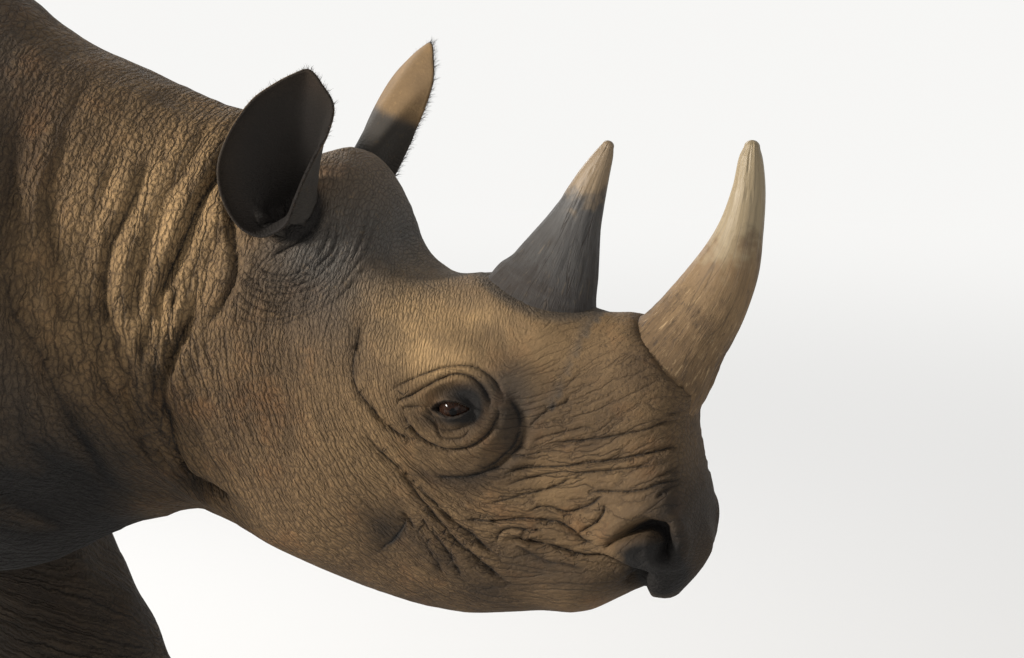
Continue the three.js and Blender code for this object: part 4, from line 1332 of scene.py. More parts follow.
def tintSkin(mesh, points, normals, plan):
    local = toHead(points)
    tints = np.zeros((len(points), 3))
    onHead = ease(-360, -280, local[:, 0])
    for middle, radii, turn, *amounts in headTints:
        share = oval(local[:, (0, 2)], middle, radii, turn) * onHead
        tints += share[:, None] * amounts
    for part, share in bodyParts(points, normals).items():
        tints += ((1 - onHead) * share)[:, None] * bodyTints[part]
    dust, dark, grey = tints.T
    # painted shade: darker in the wrinkle rows and creases, round the eye's opening and inside the nostril
    body, more = plan["rowDark"]
    dark += ease(*plan["rowDeep"], -rowHeight / skinCell) * (body + more * onHead)
    dark += plan["creaseDark"] * skinCreases[:, 1] * bell(skinCreases[:, 0], plan["creaseWide"])
    lids = plan["lidDark"] * ease(*plan["lidEdge"], eyeGap(local)) * (abs(local[:, 1]) > 70)
    dark[:] = np.maximum(dark, np.maximum(nostrilShade, lids))
    dust += plan["rootDust"] * hornSkirt
    # painted shade on the hide round the rear horn's root
    rearRoot = ease(0.55, 0.9, hornSkirt) * (local[:, 0] < 110)
    dark += plan["rearRoot"][0] * rearRoot
    grey += plan["rearRoot"][1] * rearRoot
    tintEars(mesh, local, tints, plan)
    return np.clip(tints, -0.5, 1)


smoothFaces(skinMesh)
skinPoints, skinNormals = meshPoints(skinMesh), pointNormals(skinMesh)
tints = tintSkin(skinMesh, skinPoints, skinNormals, tintPlan)
skinMesh.materials.clear()
skinMesh.polygons.foreach_set("material_index", np.zeros(len(skinMesh.polygons), np.int32))
apart = np.sign(skinPoints[:, 1]) * 5  # so that the two sides have different wrinkles
attach(skinMesh, "lie", "FLOAT_VECTOR", np.stack((acrossLie, alongLie, apart), axis=1))
skinValues = {
    "grit": hornSkirt,
    "crease": np.clip(skinCreases[:, 0], -6, 6),
    "sharp": skinCreases[:, 1],
    "cell": skinCell,
    "cracks": skinCracks,
    "rows": skinRows,
    "dust": tints[:, 0],
    "dark": tints[:, 1],
    "grey": tints[:, 2],
}
for name, values in skinValues.items():
    attach(skinMesh, name, "FLOAT", values)


# Materials: a few short ways to put nodes together
def paint(colour):  # a colour as a screen shows it, made linear
    return (*(c / 255 / 12.92 if c < 11 else ((c / 255 + 0.055) / 1.055) ** 2.4 for c in colour), 1)


def put(tree, kind, inputs=(), **settings):
    made = tree.nodes.new("ShaderNode" + kind)
    for key, value in settings.items():
        setattr(made, key, value)
    for key, value in dict(inputs).items():
        if isinstance(value, bpy.types.NodeSocket):
            tree.links.new(value, made.inputs[key])
        else:
            made.inputs[key].default_value = value
    return made


def maths(tree, operation, a, b=0.0, clamp=False):
    return put(tree, "Math", {0: a, 1: b}, operation=operation, use_clamp=clamp).outputs[0]


def times(tree, a, b, clamp=False):
    return maths(tree, "MULTIPLY", a, b, clamp)


def plus(tree, a, b, clamp=False):
    return maths(tree, "ADD", a, b, clamp)


def blend(tree, share, a, b):  # from a to b; a colour of three parts is as a screen shows it
    a, b = (paint(c) if isinstance(c, tuple) and len(c) == 3 else c for c in (a, b))
    return put(tree, "Mix", {0: share, 6: a, 7: b}, data_type="RGBA").outputs[2]


def ramp(tree, value, low, high, start=0.0, stop=1.0):
    ends = {0: value, 1: low, 2: high, 3: start, 4: stop}
    return put(tree, "MapRange", ends, interpolation_type="SMOOTHSTEP").outputs[0]


def scaled(tree, vector, sizes, shift=(0, 0, 0)):
    return put(tree, "Mapping", {"Vector": vector, "Scale": sizes, "Location": shift}).outputs[0]


def noise(tree, vector, scale=1.0, detail=2.0, rough=0.5, warp=0.0):
    grain = {"Vector": vector, "Scale": scale, "Detail": detail, "Roughness": rough, "Distortion": warp}
    return put(tree, "TexNoise", grain).outputs["Fac"]


def cellEdge(tree, vector, sizes, shift=(0, 0, 0), uneven=1.0):  # distance to the edge of a scattered cell
    cells = {"Vector": scaled(tree, vector, sizes, shift), "Scale": 1.0, "Randomness": uneven}
    made = put(tree, "TexVoronoi", cells, feature="DISTANCE_TO_EDGE", voronoi_dimensions="2D")
    return made.outputs["Distance"]


def strayed(tree, vector, place, scale, amount):  # a pattern's coordinates, pushed about by noise
    stray = put(tree, "TexNoise", {"Vector": place, "Scale": scale, "Detail": 1.0}).outputs["Color"]
    push = put(tree, "VectorMath", {0: stray, 1: (0.5, 0.5, 0.5)}, operation="SUBTRACT").outputs[0]
    push = put(tree, "VectorMath", {0: push, "Scale": amount}, operation="SCALE").outputs[0]
    return put(tree, "VectorMath", {0: vector, 1: push}, operation="ADD").outputs[0]


def objectPlace(tree):
    return put(tree, "TexCoord").outputs["Object"]


def given(tree, name, output="Fac"):
    return put(tree, "Attribute", attribute_name=name, attribute_type="GEOMETRY").outputs[output]


def newMaterial(name, rough, specular):
    material = bpy.data.materials.new(name)
    material.use_nodes = True
    shader = material.node_tree.nodes["Principled BSDF"]
    shader.inputs["Roughness"].default_value = rough
    shader.inputs["Specular IOR Level"].default_value = specular
    return material, material.node_tree, shader


def bumpTo(tree, shader, height):  # height in millimetres
    bump = put(tree, "Bump", {"Height": height, "Strength": 1.0, "Distance": 0.001})
    tree.links.new(bump.outputs[0], shader.inputs["Normal"])


hidePlan = {
    "skin": (102, 81, 55),
    "shade": (78, 61, 41),  # patches of damper, barer skin
    "dust": (156, 127, 88),
    "earth": (114, 80, 48),  # red soil rubbed in
    "grey": (86, 84, 80),
    # the colour of the dark tint, which paints shade in creases, hollows, the ears, the nostrils, round the
    # eyes and under the body
    "dark": (13, 10, 8),
    # painted shade in cracks, furrows and pits
    "crack": (36, 26, 18),
    "plate": 0.24,  # heights, as a share of a cell's width
    "bead": 0.10,
    "furrow": 0.5,
    "grain": 0.55,  # heights in millimetres
    "pit": 2.0,
    "crease": 1.6,
}


def hideParts(tree):  # the patterns that both the height and the colour of the hide read
    place = objectPlace(tree)
    lie = strayed(tree, given(tree, "lie", "Vector"), place, 38.0, 1.3)
    lie = strayed(tree, lie, place, 210.0, 0.55)
    furrow = noise(tree, scaled(tree, lie, (0.52, 0.095, 0.3)), 1.0, 1.5, 0.45)
    fromCrease = maths(tree, "ABSOLUTE", given(tree, "crease"))
    ragged = ramp(tree, noise(tree, place, 330.0, 2.0), 0.3, 0.7, -0.3, 0.5)
    parts = {
        "plateEdge": cellEdge(tree, lie, (1, 0.55, 1), uneven=0.8),
        "beadEdge": cellEdge(tree, lie, (2.1, 1.3, 1), (7.3, 2.1, 0)),
        "furrow": maths(tree, "ABSOLUTE", maths(tree, "SUBTRACT", furrow, 0.5)),
        "crease": plus(tree, fromCrease, ragged),
        "broad": noise(tree, place, 4.5, 4.0, 0.6),
        "blotch": noise(tree, place, 19.0, 4.0, 0.62),
        "speck": noise(tree, place, 130.0, 3.0, 0.7),
        "pits": noise(tree, place, 230.0, 3.0, 0.65),
        "fine": noise(tree, place, 420.0, 4.0, 0.65),
    }
    for name in ("cell", "cracks", "rows", "sharp", "grit", "dust", "dark", "grey"):
        parts[name] = given(tree, name)
    return parts


def hideHeight(tree, plan, part):
    plates = times(tree, ramp(tree, part["plateEdge"], 0.0, 0.4), plan["plate"])
    beads = times(tree, ramp(tree, part["beadEdge"], 0.0, 0.42), plan["bead"])
    furrows = maths(tree, "POWER", ramp(tree, part["furrow"], -0.16, 0.16, -1.0, 1.0), 0.6)
    furrows = times(tree, furrows, plan["furrow"])
    height = times(tree, plates, part["cracks"])
    height = plus(tree, height, times(tree, beads, ramp(tree, part["cracks"], 0.0, 1.0, 0.12, 1.0)))
    height = plus(tree, height, times(tree, furrows, part["rows"]))
    height = times(tree, height, part["cell"])
    crease = times(tree, ramp(tree, part["crease"], 2.2, 0.0), part["sharp"])
    height = maths(tree, "SUBTRACT", height, times(tree, crease, plan["crease"]))
    height = plus(tree, height, times(tree, part["fine"], plan["grain"]))
    pits = times(tree, part["pits"], part["grit"])
    return plus(tree, height, times(tree, pits, plan["pit"]))


def hideColour(tree, plan, part):
    colour = blend(tree, ramp(tree, part["broad"], 0.4, 0.62), plan["shade"], plan["skin"])
    colour = blend(tree, ramp(tree, part["blotch"], 0.5, 0.75, 0.0, 0.45), colour, plan["earth"])
    colour = blend(tree, times(tree, part["grey"], 0.8, True), colour, plan["grey"])
    dust = times(tree, part["dust"], ramp(tree, part["blotch"], 0.3, 0.66, 0.45, 1.1), True)
    dust = plus(tree, dust, ramp(tree, part["speck"], 0.55, 0.75, 0.0, 0.22), True)
    colour = blend(tree, dust, colour, plan["dust"])
    # painted shade darkens the cracks, furrows and grit pits
    cracks = times(tree, ramp(tree, part["plateEdge"], 0.2, 0.0),
                   ramp(tree, part["cracks"], 0.0, 1.0, 0.05, 0.55))
    furrows = times(tree, ramp(tree, part["furrow"], 0.05, 0.0), times(tree, part["rows"], 0.5))
    pits = times(tree, part["grit"], ramp(tree, part["pits"], 0.46, 0.34, 0.0, 0.6))
    deep = maths(tree, "MAXIMUM", maths(tree, "MAXIMUM", cracks, furrows), pits)
    colour = blend(tree, deep, colour, plan["crack"])
    # the dark tint, mostly painted shade
    colour = blend(tree, maths(tree, "MAXIMUM", part["dark"], 0.0), colour, plan["dark"])
    # a thin line of painted shade along each sharp crease
    crease = times(tree, ramp(tree, part["crease"], 1.1, 0.1), part["sharp"])
    return blend(tree, times(tree, crease, 0.85), colour, plan["dark"])


def hideMaterial(plan):
    material, tree, shader = newMaterial("hide", 0.82, 0.28)
    parts = hideParts(tree)
    bumpTo(tree, shader, hideHeight(tree, plan, parts))
    tree.links.new(hideColour(tree, plan, parts), shader.inputs["Base Color"])
    return material


skinMesh.materials.append(hideMaterial(hidePlan))
skin = addObject("skin", skinMesh)
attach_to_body(skin, "root")
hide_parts(*fleshNodes)
print("skin finished")


hornShape = {
    "around": 112,
    "step": 3.0,
    "capRows": 7,
    "skirt": 1.0,  # how much thicker the root is
    "fibres": {  # height, how fine they are round the horn, and their length, in millimetres
        "ridge": (0.5, 9, 90),
        "lump": (0.9, 3, 60),
        "tuft": (1.1, 22, 22),
        "shred": (0.8, 40, 9),
        "waver": (1.4, 2, 60),  # of the rings round the horn
        "split": (1, 7, 110),
        "chip": (1, 6, 16),
    },
    "ring": (0.6, 5.2),  # height and spacing of those rings
    "splitDeep": 1.2,
    "chipDeep": 0.6,
}


def tipCap(rings, height, count):  # rings that round off the end
    middle = rings[-2:].mean(axis=1)
    tip = unit(middle[1] - middle[0])
    angles = math.pi / 2 * np.arange(1, count + 1) / (count + 0.5)
    out = rings[-1] - middle[1]
    return np.array([middle[1] + out * math.cos(a) + tip * height * math.sin(a) for a in angles])


def makeHorn(node, plan, shape):
    rows, rings = ringsAlong([plan["sunk"]] + plan["rings"], shape["step"], shape["around"])
    rings = np.concatenate((rings, tipCap(rings, rows[-1, 3] * 0.9, shape["capRows"])))
    middle = rings.mean(axis=1)
    length = np.concatenate(([0], np.cumsum(np.linalg.norm(np.diff(middle, axis=0), axis=1))))
    run = (length / length[-1])[:, None]
    out = rings - middle[:, None]
    radius = np.linalg.norm(out, axis=2)
    out /= radius[:, :, None]
    angle = 2 * math.pi * np.arange(shape["around"]) / shape["around"]
    ringPlace = np.stack((np.cos(angle), np.sin(angle)), axis=1)[None] * np.ones((len(rings), 1, 1))
    lengths = np.repeat(length[:, None], shape["around"], axis=1)

    def fibre(kind):
        height, fine, long = shape["fibres"][kind]
        seed = plan["seed"] + list(shape["fibres"]).index(kind)
        places = np.concatenate((ringPlace * fine, lengths[:, :, None] / long), axis=2)
        return height * softNoise(places, seed)
    shaggy = ease(plan["shaggy"], plan["shaggy"] - 0.25, run)
    push = fibre("ridge") + fibre("lump") * (0.4 + shaggy)
    push += shaggy * (fibre("tuft") + fibre("shred"))
    high, spacing = shape["ring"]
    push += plan["bands"] * high * np.sin(lengths / spacing + fibre("waver")) * ease(0.5, 0.2, run)
    split = ease(0.04, 0.0, abs(fibre("split"))) * ease(0.9, 0.5, run)
    push -= shape["splitDeep"] * split * (0.4 + 0.6 * plan["bands"])
    push -= shape["chipDeep"] * (1 - shaggy) * ease(0.3, 0.75, fibre("chip"))
    push *= ease(0.0, 0.16, run)  # none of it where the hide covers the root
    push += shape["skirt"] * ease(0.3, 0.1, run)
    push *= ease(0, 9, radius)  # nor at the very tip
    points = rings + out * push[:, :, None]
    ends = points[[0, -1]].mean(axis=1)
    made = newObject(pieceName(node), fromHead(np.concatenate((points.reshape(-1, 3), ends))),
                     ringFaces(len(rings), shape["around"]))
    turnFacesOut(made.data)
    smoothFaces(made.data)
    place = np.concatenate((ringPlace, lengths[:, :, None] / 100), axis=2).reshape(-1, 3)
    attach(made.data, "fibres", "FLOAT_VECTOR", np.concatenate((place, place[[0, -1]] * (0, 0, 1))))
    bare = np.repeat(run, shape["around"], axis=1).ravel()
    attach(made.data, "run", "FLOAT", np.concatenate((bare, [0, 1])))
    return made


hornFinish = {
    "root": (96, 75, 50),
    # dark streaks, and painted shade in pits and cracks
    "split": (38, 30, 23),
    "fleck": (176, 150, 112),
}


def hornMaterial(plan, finish, name):
    material, tree, shader = newMaterial(name, 0.55, 0.35)
    fibres, run = given(tree, "fibres", "Vector"), given(tree, "run")

    def grain(sizes, *rest):  # noise that follows the fibres
        return noise(tree, scaled(tree, fibres, sizes), 1.0, *rest)
    strands = grain((8, 8, 0.9), 3.0, 0.55)
    hairs = grain((40, 40, 1.8), 3.0, 0.6)
    pits = grain((16, 16, 7), 4.0, 0.7, 0.4)
    patch = noise(tree, objectPlace(tree), 26.0, 4.0, 0.6)
    lift = plus(tree, run, times(tree, maths(tree, "SUBTRACT", patch, 0.5), 0.5))
    lower, upper = plan["turns"]
    colour = blend(tree, ramp(tree, lift, lower - 0.12, lower + 0.12), plan["low"], plan["middle"])
    colour = blend(tree, ramp(tree, lift, upper - 0.06, upper + 0.08), colour, plan["high"])
    if not plan["banded"]:
        foot = times(tree, ramp(tree, run, 0.3, 0.08), ramp(tree, patch, 0.3, 0.6, 0.5, 1.0))
        colour = blend(tree, foot, colour, finish["root"])
    for pattern, stop, most in ((patch, 0.32, 0.3), (strands, 0.3, 0.25), (hairs, 0.3, 0.2)):
        colour = blend(tree, ramp(tree, pattern, 0.5, stop, 0.0, most), colour, finish["split"])
    rough = ramp(tree, run, upper, lower)  # where the horn is pitted and dusty
    # painted shade in the pits
    pitShade = times(tree, rough, ramp(tree, pits, 0.46, 0.34, 0.0, 0.6))
    colour = blend(tree, pitShade, colour, finish["split"])
    flecks = times(tree, ramp(tree, pits, 0.56, 0.7, 0.0, 0.6 - 0.5 * plan["bands"]), rough)
    colour = blend(tree, flecks, colour, finish["fleck"])
    # painted shade in the fine cracks, which also dip the bump
    crack = maths(tree, "ABSOLUTE", maths(tree, "SUBTRACT", grain((3.2, 3.2, 0.5), 1.0, 0.4), 0.5))
    crack = times(tree, ramp(tree, crack, 0.012, 0.0),
                  ramp(tree, run, 0.85, 0.6, 0.1, 0.3 + 0.4 * plan["bands"]))
    colour = blend(tree, crack, colour, finish["split"])
    if plan["banded"]:
        band = ramp(tree, grain((0.8, 0.8, 9), 2.0, 0.5), 0.45, 0.62, 0.0, 0.45)
        colour = blend(tree, times(tree, band, ramp(tree, run, 0.5, 0.2)), colour, finish["split"])
    tree.links.new(colour, shader.inputs["Base Color"])
    tree.links.new(ramp(tree, run, 0.3, 0.9, 0.78, 0.42), shader.inputs["Roughness"])
    height = times(tree, hairs, ramp(tree, run, 0.2, 0.8, 0.8, 0.3))
    height = plus(tree, height, times(tree, times(tree, pits, rough), 1.4))
    bumpTo(tree, shader, maths(tree, "SUBTRACT", height, times(tree, crack, 0.6)))
    return material


for node, plan in hornPlans.items():
    horn = makeHorn(node, plan, hornShape)
    horn.data.materials.append(hornMaterial(plan, hornFinish, node))
    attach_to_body(horn, "root")
    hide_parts(node)
print("horns made")


# Eyes
eyeShape = {
    "around": 56,
    "rows": 40,
    "radius": facePlan["eyeBall"],
    "gaze": (0.22, 1.0, -0.04),  # in the head's frame, for the left eye
    "iris": 9.0,
    "pupil": 4.2,
    "bulge": 1.0,
    "white": (48, 32, 24),
    "brown": (44, 24, 13),
    "rim": (12, 8, 6),
    "black": (0.002, 0.002, 0.002, 1),  # the pupil
}


def makeEye(name, side, shape):
    gaze = unit(np.array(shape["gaze"]) * (1, side, 1))
    flatWay = unit(np.cross(gaze, (0, 0, 1)))
    third = np.cross(gaze, flatWay)
    angles = math.pi * np.arange(1, shape["rows"]) / shape["rows"]
    turns = 2 * math.pi * np.arange(shape["around"]) / shape["around"]
    away = np.sin(angles) * shape["radius"]
    reach = np.cos(angles) * shape["radius"]
    reach = reach + shape["bulge"] * ease(shape["iris"] * 1.25, 0, away) * (reach > 0)
    spokes = [flatWay * math.cos(turn) + third * math.sin(turn) for turn in turns]
    local = [gaze * r + spoke * a for r, a in zip(reach, away) for spoke in spokes]
    local += [gaze * (shape["radius"] + shape["bulge"]), gaze * -shape["radius"]]
    local = np.array(local)
    off = np.concatenate((np.repeat(np.where(reach > 0, away, 90), shape["around"]), [0, 90]))
    made = newObject(name, fromHead(local + (0, facePlan["eyeDeep"] * side, 0)),
                     ringFaces(shape["rows"] - 1, shape["around"]))
    turnFacesOut(made.data)
    smoothFaces(made.data)
    attach(made.data, "fromPupil", "FLOAT", off)
    return made


def eyeMaterial(shape):
    material, tree, shader = newMaterial("eye", 0.12, 0.07)
    off = given(tree, "fromPupil")
    place = objectPlace(tree)
    streak = noise(tree, place, 700.0, 2.0)
    colour = blend(tree, ramp(tree, streak, 0.35, 0.7), shape["rim"], shape["brown"])
    colour = blend(tree, ramp(tree, off, shape["pupil"] + 1.2, shape["pupil"]), colour, shape["black"])
    outer = blend(tree, ramp(tree, streak, 0.4, 0.7), shape["white"], shape["rim"])
    colour = blend(tree, ramp(tree, off, shape["iris"], shape["iris"] + 2.0), colour, outer)
    tree.links.new(colour, shader.inputs["Base Color"])
    shader.inputs["Coat Weight"].default_value = 0.05
    shader.inputs["Coat Roughness"].default_value = 0.04
    return material


eyePaint = eyeMaterial(eyeShape)
for name, node, side in (("eyeLeft", "eye_left", 1), ("eyeRight", "eye_right", -1)):
    eye = makeEye(name, side, eyeShape)
    eye.data.materials.append(eyePaint)
    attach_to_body(eye, "root")
    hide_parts(node)
print("eyes made")


# Toenails
nailPlan = {
    "grain": 0.0034,
    "rounds": 26,
    "grow": 0.0008,
    "sole": 0.0005,  # how far the nails stay off the floor
    "colour": (112, 98, 80),
    "dark": (54, 45, 36),
    "edge": (150, 132, 106),
}


def makeNail(node, plan):
    points, _, faces = mergedCopy(node)
    made = newObject(pieceName(node), points, faces)
    wrap = made.modifiers.new("wrap", "REMESH")
    wrap.mode = "VOXEL"
    wrap.voxel_size = plan["grain"]
    wrapped = evaluated(made)
    made.modifiers.clear()
    made.data = wrapped
    points = relax(meshPoints(wrapped), neighbourMean(wrapped), plan["rounds"], 1.0, 0.12)
    setPoints(wrapped, points)
    points = points + pointNormals(wrapped) * plan["grow"]
    points[:, 2] = np.maximum(points[:, 2], plan["sole"])
    setPoints(wrapped, points)
    smoothFaces(wrapped)
    return made


def nailMaterial(plan):
    material, tree, shader = newMaterial("nail", 0.6, 0.4)
    place = objectPlace(tree)
    lines = noise(tree, scaled(tree, place, (160, 160, 900)), 1.0, 3.0, 0.6)
    patch = noise(tree, place, 46.0, 4.0, 0.65)
    low = ramp(tree, put(tree, "SeparateXYZ", {0: place}).outputs["Z"], 0.02, 0.0)
    colour = blend(tree, ramp(tree, patch, 0.35, 0.65), plan["dark"], plan["colour"])
    colour = blend(tree, ramp(tree, lines, 0.5, 0.7, 0.0, 0.5), colour, plan["edge"])
    colour = blend(tree, times(tree, low, 0.6), colour, plan["edge"])
    tree.links.new(colour, shader.inputs["Base Color"])
    height = plus(tree, times(tree, lines, 0.5), times(tree, patch, 0.8))
    bumpTo(tree, shader, height)
    return material


nailPaint = nailMaterial(nailPlan)
for node in [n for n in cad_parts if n.startswith("nail_")]:
    nail = makeNail(node, nailPlan)
    nail.data.materials.append(nailPaint)
    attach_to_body(nail, "root")
    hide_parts(node)
print("toenails made")


# Hair: stiff bristles set along lines, all from one Geometry Nodes tree
hairPlans = {
    "earFringe": {
        "parts": (((-0.03, 0.36), 300, 0.010), ((-0.24, -0.03), 120, 0.007)),  # span, count, length
        "up": 0.9,
        "Thickness": 0.035, "Spread": 0.0014, "Untidy": 0.5, "Bend": 0.3, "Seed": 5,
    },
    "lashes": {
        "count": 44, "length": 0.011, "from": -0.82, "to": 0.86,
        "Thickness": 0.04, "Spread": 0.0006, "Untidy": 0.14, "Bend": 0.35, "Seed": 9,
    },
    "tailTuft": {
        "top": 900, "count": 170, "length": 0.085,
        "Thickness": 0.008, "Spread": 0.004, "Untidy": 0.22, "Bend": 0.12, "Seed": 14,
    },
    "patch": 0.003,  # size of a bristle on the map of the skin
    "rings": 4,
    "sides": 3,
    "colour": (22, 17, 13),
    "tip": (58, 42, 28),
}


def bristleTree(plan):
    tree = bpy.data.node_groups.new("bristles", "GeometryNodeTree")
    sockets = {"Geometry": "Geometry", "Count": "Int", "Length": "Float", "Thickness": "Float",
               "Spread": "Float", "Untidy": "Float", "Bend": "Float", "Seed": "Int", "Material": "Material"}
    for name, kind in sockets.items():
        tree.interface.new_socket(name, in_out="INPUT", socket_type="NodeSocket" + kind)
    tree.interface.new_socket("Geometry", in_out="OUTPUT", socket_type="NodeSocketGeometry")
    asked = tree.nodes.new("NodeGroupInput").outputs

    def add(kind, inputs, output=0, **settings):
        made = tree.nodes.new(kind)
        for key, value in settings.items():
            setattr(made, key, value)
        for key, value in inputs.items():
            if isinstance(value, bpy.types.NodeSocket):
                tree.links.new(value, made.inputs[key])
            else:
                made.inputs[key].default_value = value
        return made.outputs[output]

    def randomVector(seed):
        shifted = add("ShaderNodeMath", {0: asked["Seed"], 1: seed}, operation="ADD")
        ends = {0: (-1, -1, -1), 1: (1, 1, 1), 8: shifted}
        return add("FunctionNodeRandomValue", ends, data_type="FLOAT_VECTOR")

    def scaledBy(vector, amount):
        return add("ShaderNodeVectorMath", {0: vector, "Scale": amount}, operation="SCALE")
    roots = add("GeometryNodeMeshToCurve", {0: asked["Geometry"]})
    roots = add("GeometryNodeResampleCurve", {"Curve": roots, "Count": asked["Count"]}, mode="COUNT")
    spread = scaledBy(randomVector(1), asked["Spread"])
    roots = add("GeometryNodeSetPosition", {"Geometry": roots, "Offset": spread})
    lean = add("GeometryNodeInputNamedAttribute", {"Name": "lean"}, data_type="FLOAT_VECTOR")
    untidy = scaledBy(randomVector(2), asked["Untidy"])
    lean = add("ShaderNodeVectorMath", {0: lean, 1: untidy}, operation="ADD")
    spin = scaledBy(randomVector(3), math.pi)
    turned = add("FunctionNodeAlignRotationToVector", {"Rotation": spin, "Vector": lean}, axis="Z")
    sizeSeed = add("ShaderNodeMath", {0: asked["Seed"], 1: 4.0}, operation="ADD")
    size = add("FunctionNodeRandomValue", {2: 0.55, 3: 1.1, 8: sizeSeed}, 1, data_type="FLOAT")
    size = add("ShaderNodeMath", {0: size, 1: asked["Length"]}, operation="MULTIPLY")
    bentEnd = add("ShaderNodeCombineXYZ", {0: asked["Bend"], 1: 0.0, 2: 0.95})
    line = add("GeometryNodeCurveQuadraticBezier",
               {"Resolution": plan["rings"], "Start": (0, 0, 0), "Middle": (0, 0, 0.55), "End": bentEnd})
    taper = add("ShaderNodeMath", {0: 1.0, 1: add("GeometryNodeSplineParameter", {})}, operation="SUBTRACT")
    taper = add("ShaderNodeMath", {0: taper, 1: 0.12}, operation="MAXIMUM")
    profile = add("GeometryNodeCurvePrimitiveCircle",
                  {"Resolution": plan["sides"], "Radius": asked["Thickness"]})
    bristle = add("GeometryNodeCurveToMesh", {0: line, 1: profile, 2: taper, 3: True})
    placed = add("GeometryNodeInstanceOnPoints", {0: roots, 2: bristle, 5: turned, 6: size})
    made = add("GeometryNodeRealizeInstances", {0: placed})
    made = add("GeometryNodeSetShadeSmooth", {"Geometry": made})
    made = add("GeometryNodeSetMaterial", {"Geometry": made, "Material": asked["Material"]})
    tree.links.new(made, tree.nodes.new("NodeGroupOutput").inputs[0])
    return tree


def hairMaterial(plan):
    material, tree, shader = newMaterial("bristle", 0.5, 0.3)
    streak = noise(tree, objectPlace(tree), 240.0, 2.0)
    colour = blend(tree, ramp(tree, streak, 0.45, 0.75), plan["colour"], plan["tip"])
    tree.links.new(colour, shader.inputs["Base Color"])
    return material


def mapBristles(mesh, count, band):  # each bristle has a small patch, at its root's place along the line
    each = len(mesh.vertices) // count
    corners = np.empty(len(mesh.loops), np.int32)
    mesh.loops.foreach_get("vertex_index", corners)
    root, part = corners // each, corners % each
    ring, side = part // hairPlans["sides"], part % hairPlans["sides"]
    patch = hairPlans["patch"]
    across = 0.03 + 0.94 * root / count + patch * side / hairPlans["sides"]
    up = 0.1 + 0.2 * band + patch * ring / hairPlans["rings"]
    layer = mesh.uv_layers.new(name="OFBake")
    layer.data.foreach_set("uv", np.stack((across, up), axis=1).astype(np.float32).ravel())
    return mesh


def joinMeshes(name, meshes):
    made = bmesh.new()
    for mesh in meshes:
        made.from_mesh(mesh)
    joined = bpy.data.meshes.new(name)
    made.to_mesh(joined)
    made.free()
    joined.materials.append(bristlePaint)
    turnFacesOut(joined)
    smoothFaces(joined)
    piece = addObject(name, joined)
    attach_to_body(piece, "root")
    print(name, "grown:", triangles(joined), "triangles")


def growHair(name, lines, plan):  # each line: points, the way its bristles lean, how many, how long
    meshes = []
    for points, lean, count, length in lines:
        mesh = bpy.data.meshes.new(name)
        mesh.from_pydata([tuple(p) for p in points], [(i, i + 1) for i in range(len(points) - 1)], [])
        attach(mesh, "lean", "FLOAT_VECTOR", unitRows(lean))
        grower = addObject(name + "Line", mesh)
        hair = grower.modifiers.new("bristles", "NODES")
        hair.node_group = bristles
        values = {key: plan[key] for key in ("Thickness", "Spread", "Untidy", "Bend")}
        values |= {"Count": count, "Length": length, "Material": bristlePaint}
        values["Seed"] = plan["Seed"] + len(meshes)
        for socket in bristles.interface.items_tree:
            if socket.in_out == "INPUT" and socket.name in values:
                hair[socket.identifier] = values[socket.name]
        grown = evaluated(grower)
        bpy.data.objects.remove(grower)
        meshes.append(mapBristles(grown, count, len(meshes)))
    joinMeshes(name, meshes)


def earLines(name, plan):
    outer, inner = earWall(earPlan)
    root, axes = earFrame(name)
    rim = (outer[:, -1] + inner[:, -1]) / 2
    away = unitRows(outer[:, -1] - outer[:, -3])
    lines = []
    for (start, stop), count, length in plan["parts"]:
        turns = np.arange(math.floor(start * len(rim)), math.ceil(stop * len(rim)) + 1) % len(rim)
        lean = away[turns] + (0, plan["up"], 0)  # the bristles lie towards the ear's tip
        lines.append((fromHead(rim[turns] @ axes + root), lean @ axes @ headAxes, count, length))
    return lines


def lashLines(side, plan):
    half, above = facePlan["opening"][:2]
    turn = math.radians(facePlan["openingTurn"])
    along = np.linspace(plan["from"], plan["to"], 24) * half
    across = above * (1 - (along / half) ** 2) ** 0.8 + 1.6
    u = along * math.cos(turn) - across * math.sin(turn)
    w = along * math.sin(turn) + across * math.cos(turn)
    v = facePlan["eyeDeep"] + np.sqrt(facePlan["lidBall"] ** 2 - u ** 2 - w ** 2) + 0.6
    roots = fromHead(np.stack((u, v * side, w), axis=1))
    lean = np.array((0.25, 0.9 * side, -0.28)) + np.stack((u, 0 * u, w), axis=1) / 60
    return [(roots, lean @ headAxes, plan["count"], plan["length"])]


def tailLines(plan):
    rows, rings = ringsAlong(tailPlan["rings"], tailPlan["step"], tailPlan["around"])
    rings = (rings + tailPlan["shift"]) / 1000
    low = np.flatnonzero(rows[:, 2] < plan["top"])
    lines = []
    for turn in (0, tailPlan["around"] // 2):  # the tuft's two edges
        edge = rings[low, turn]
        out = unitRows(edge - rings[low].mean(axis=1))
        lines.append((edge - out * 0.002, out * 0.45 + (0, 0, -1), plan["count"], plan["length"]))
    return lines


bristles = bristleTree(hairPlans)
bristlePaint = hairMaterial(hairPlans)
fringe, lashes, tuft = (hairPlans[kind] for kind in ("earFringe", "lashes", "tailTuft"))
for side, sign in (("left", 1), ("right", -1)):
    growHair("earFringe" + side.title(), earLines("ear_" + side, fringe), fringe)
    growHair("lashes" + side.title(), lashLines(sign, lashes), lashes)
growHair("tailTuft", tailLines(tuft), tuft)


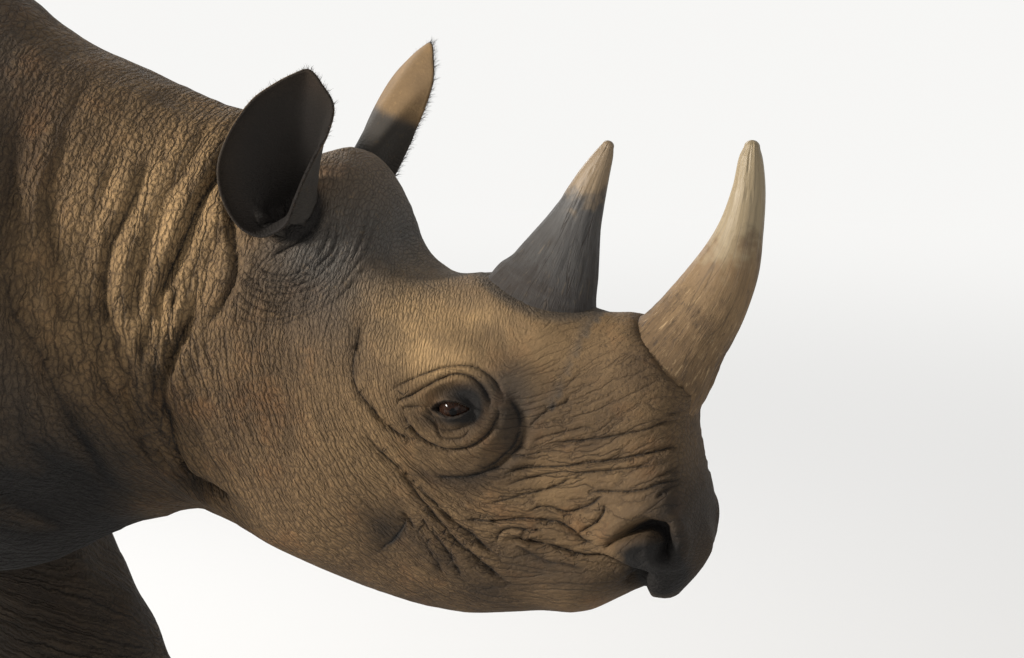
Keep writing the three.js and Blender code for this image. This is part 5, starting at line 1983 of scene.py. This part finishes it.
# Stage: a pale floor that fades into a white surround
stagePlan = {
    "floor": (0.80, 0.79, 0.77),
    "surround": (0.93, 0.925, 0.91),
    "near": 3.0,
    "far": 9.0,
    "sky": ((0.92, 0.95, 1.0), 0.42),
    "lamps": [  # name, place, power, size, colour
        ("key", (-4.9, -3.5, 3.1), 820, 0.9, (1.0, 0.95, 0.88)),
        ("fill", (3.5, -6.0, 2.2), 60, 3.0, (1, 1, 1)),
        ("back", (-2.5, 5.0, 4.0), 200, 2.5, (1, 1, 1)),
    ],
    "lampsAim": (0.7, -0.1, 0.95),
}


def seenShare(tree):  # 1 for what the camera sees, straight or in gloss or glass
    path = put(tree, "LightPath").outputs
    seen = maths(tree, "MAXIMUM", path["Is Camera Ray"], path["Is Glossy Ray"])
    return maths(tree, "MAXIMUM", seen, path["Is Transmission Ray"])


def makeStage(plan):
    floor = newObject("floor", [(-60, -60, 0), (60, -60, 0), (60, 60, 0), (-60, 60, 0)], [(0, 1, 2, 3)])
    material, tree, shader = newMaterial("floor", 0.9, 0.2)
    shader.inputs["Base Color"].default_value = (*plan["floor"], 1)
    glow = put(tree, "Emission", {"Color": (*plan["surround"], 1), "Strength": 1.0}).outputs[0]
    place = objectPlace(tree)
    away = put(tree, "VectorMath", {0: place}, operation="LENGTH").outputs["Value"]
    share = times(tree, ramp(tree, away, plan["near"], plan["far"]), seenShare(tree))
    mixed = put(tree, "MixShader", {0: share, 1: shader.outputs[0], 2: glow}).outputs[0]
    tree.links.new(mixed, tree.nodes["Material Output"].inputs["Surface"])
    floor.data.materials.append(material)
    world = bpy.data.worlds.new("world")
    world.use_nodes = True
    tree = world.node_tree
    sky = tree.nodes["Background"]
    sky.inputs["Color"].default_value = (*plan["sky"][0], 1)
    sky.inputs["Strength"].default_value = plan["sky"][1]
    shown = put(tree, "Background", {"Color": (*plan["surround"], 1), "Strength": 1.0}).outputs[0]
    mixed = put(tree, "MixShader", {0: seenShare(tree), 1: sky.outputs[0], 2: shown}).outputs[0]
    tree.links.new(mixed, tree.nodes["World Output"].inputs["Surface"])
    scene.world = world
    for name, place, power, size, colour in plan["lamps"]:
        data = bpy.data.lights.new(name, "AREA")
        data.energy = power
        data.size = size
        data.color = colour
        lamp = addObject(name, data)
        lamp.location = place
        look = Vector(plan["lampsAim"]) - Vector(place)
        lamp.rotation_euler = look.to_track_quat("-Z", "Y").to_euler()
        lamp.visible_camera = False


makeStage(stagePlan)
print("stage made")
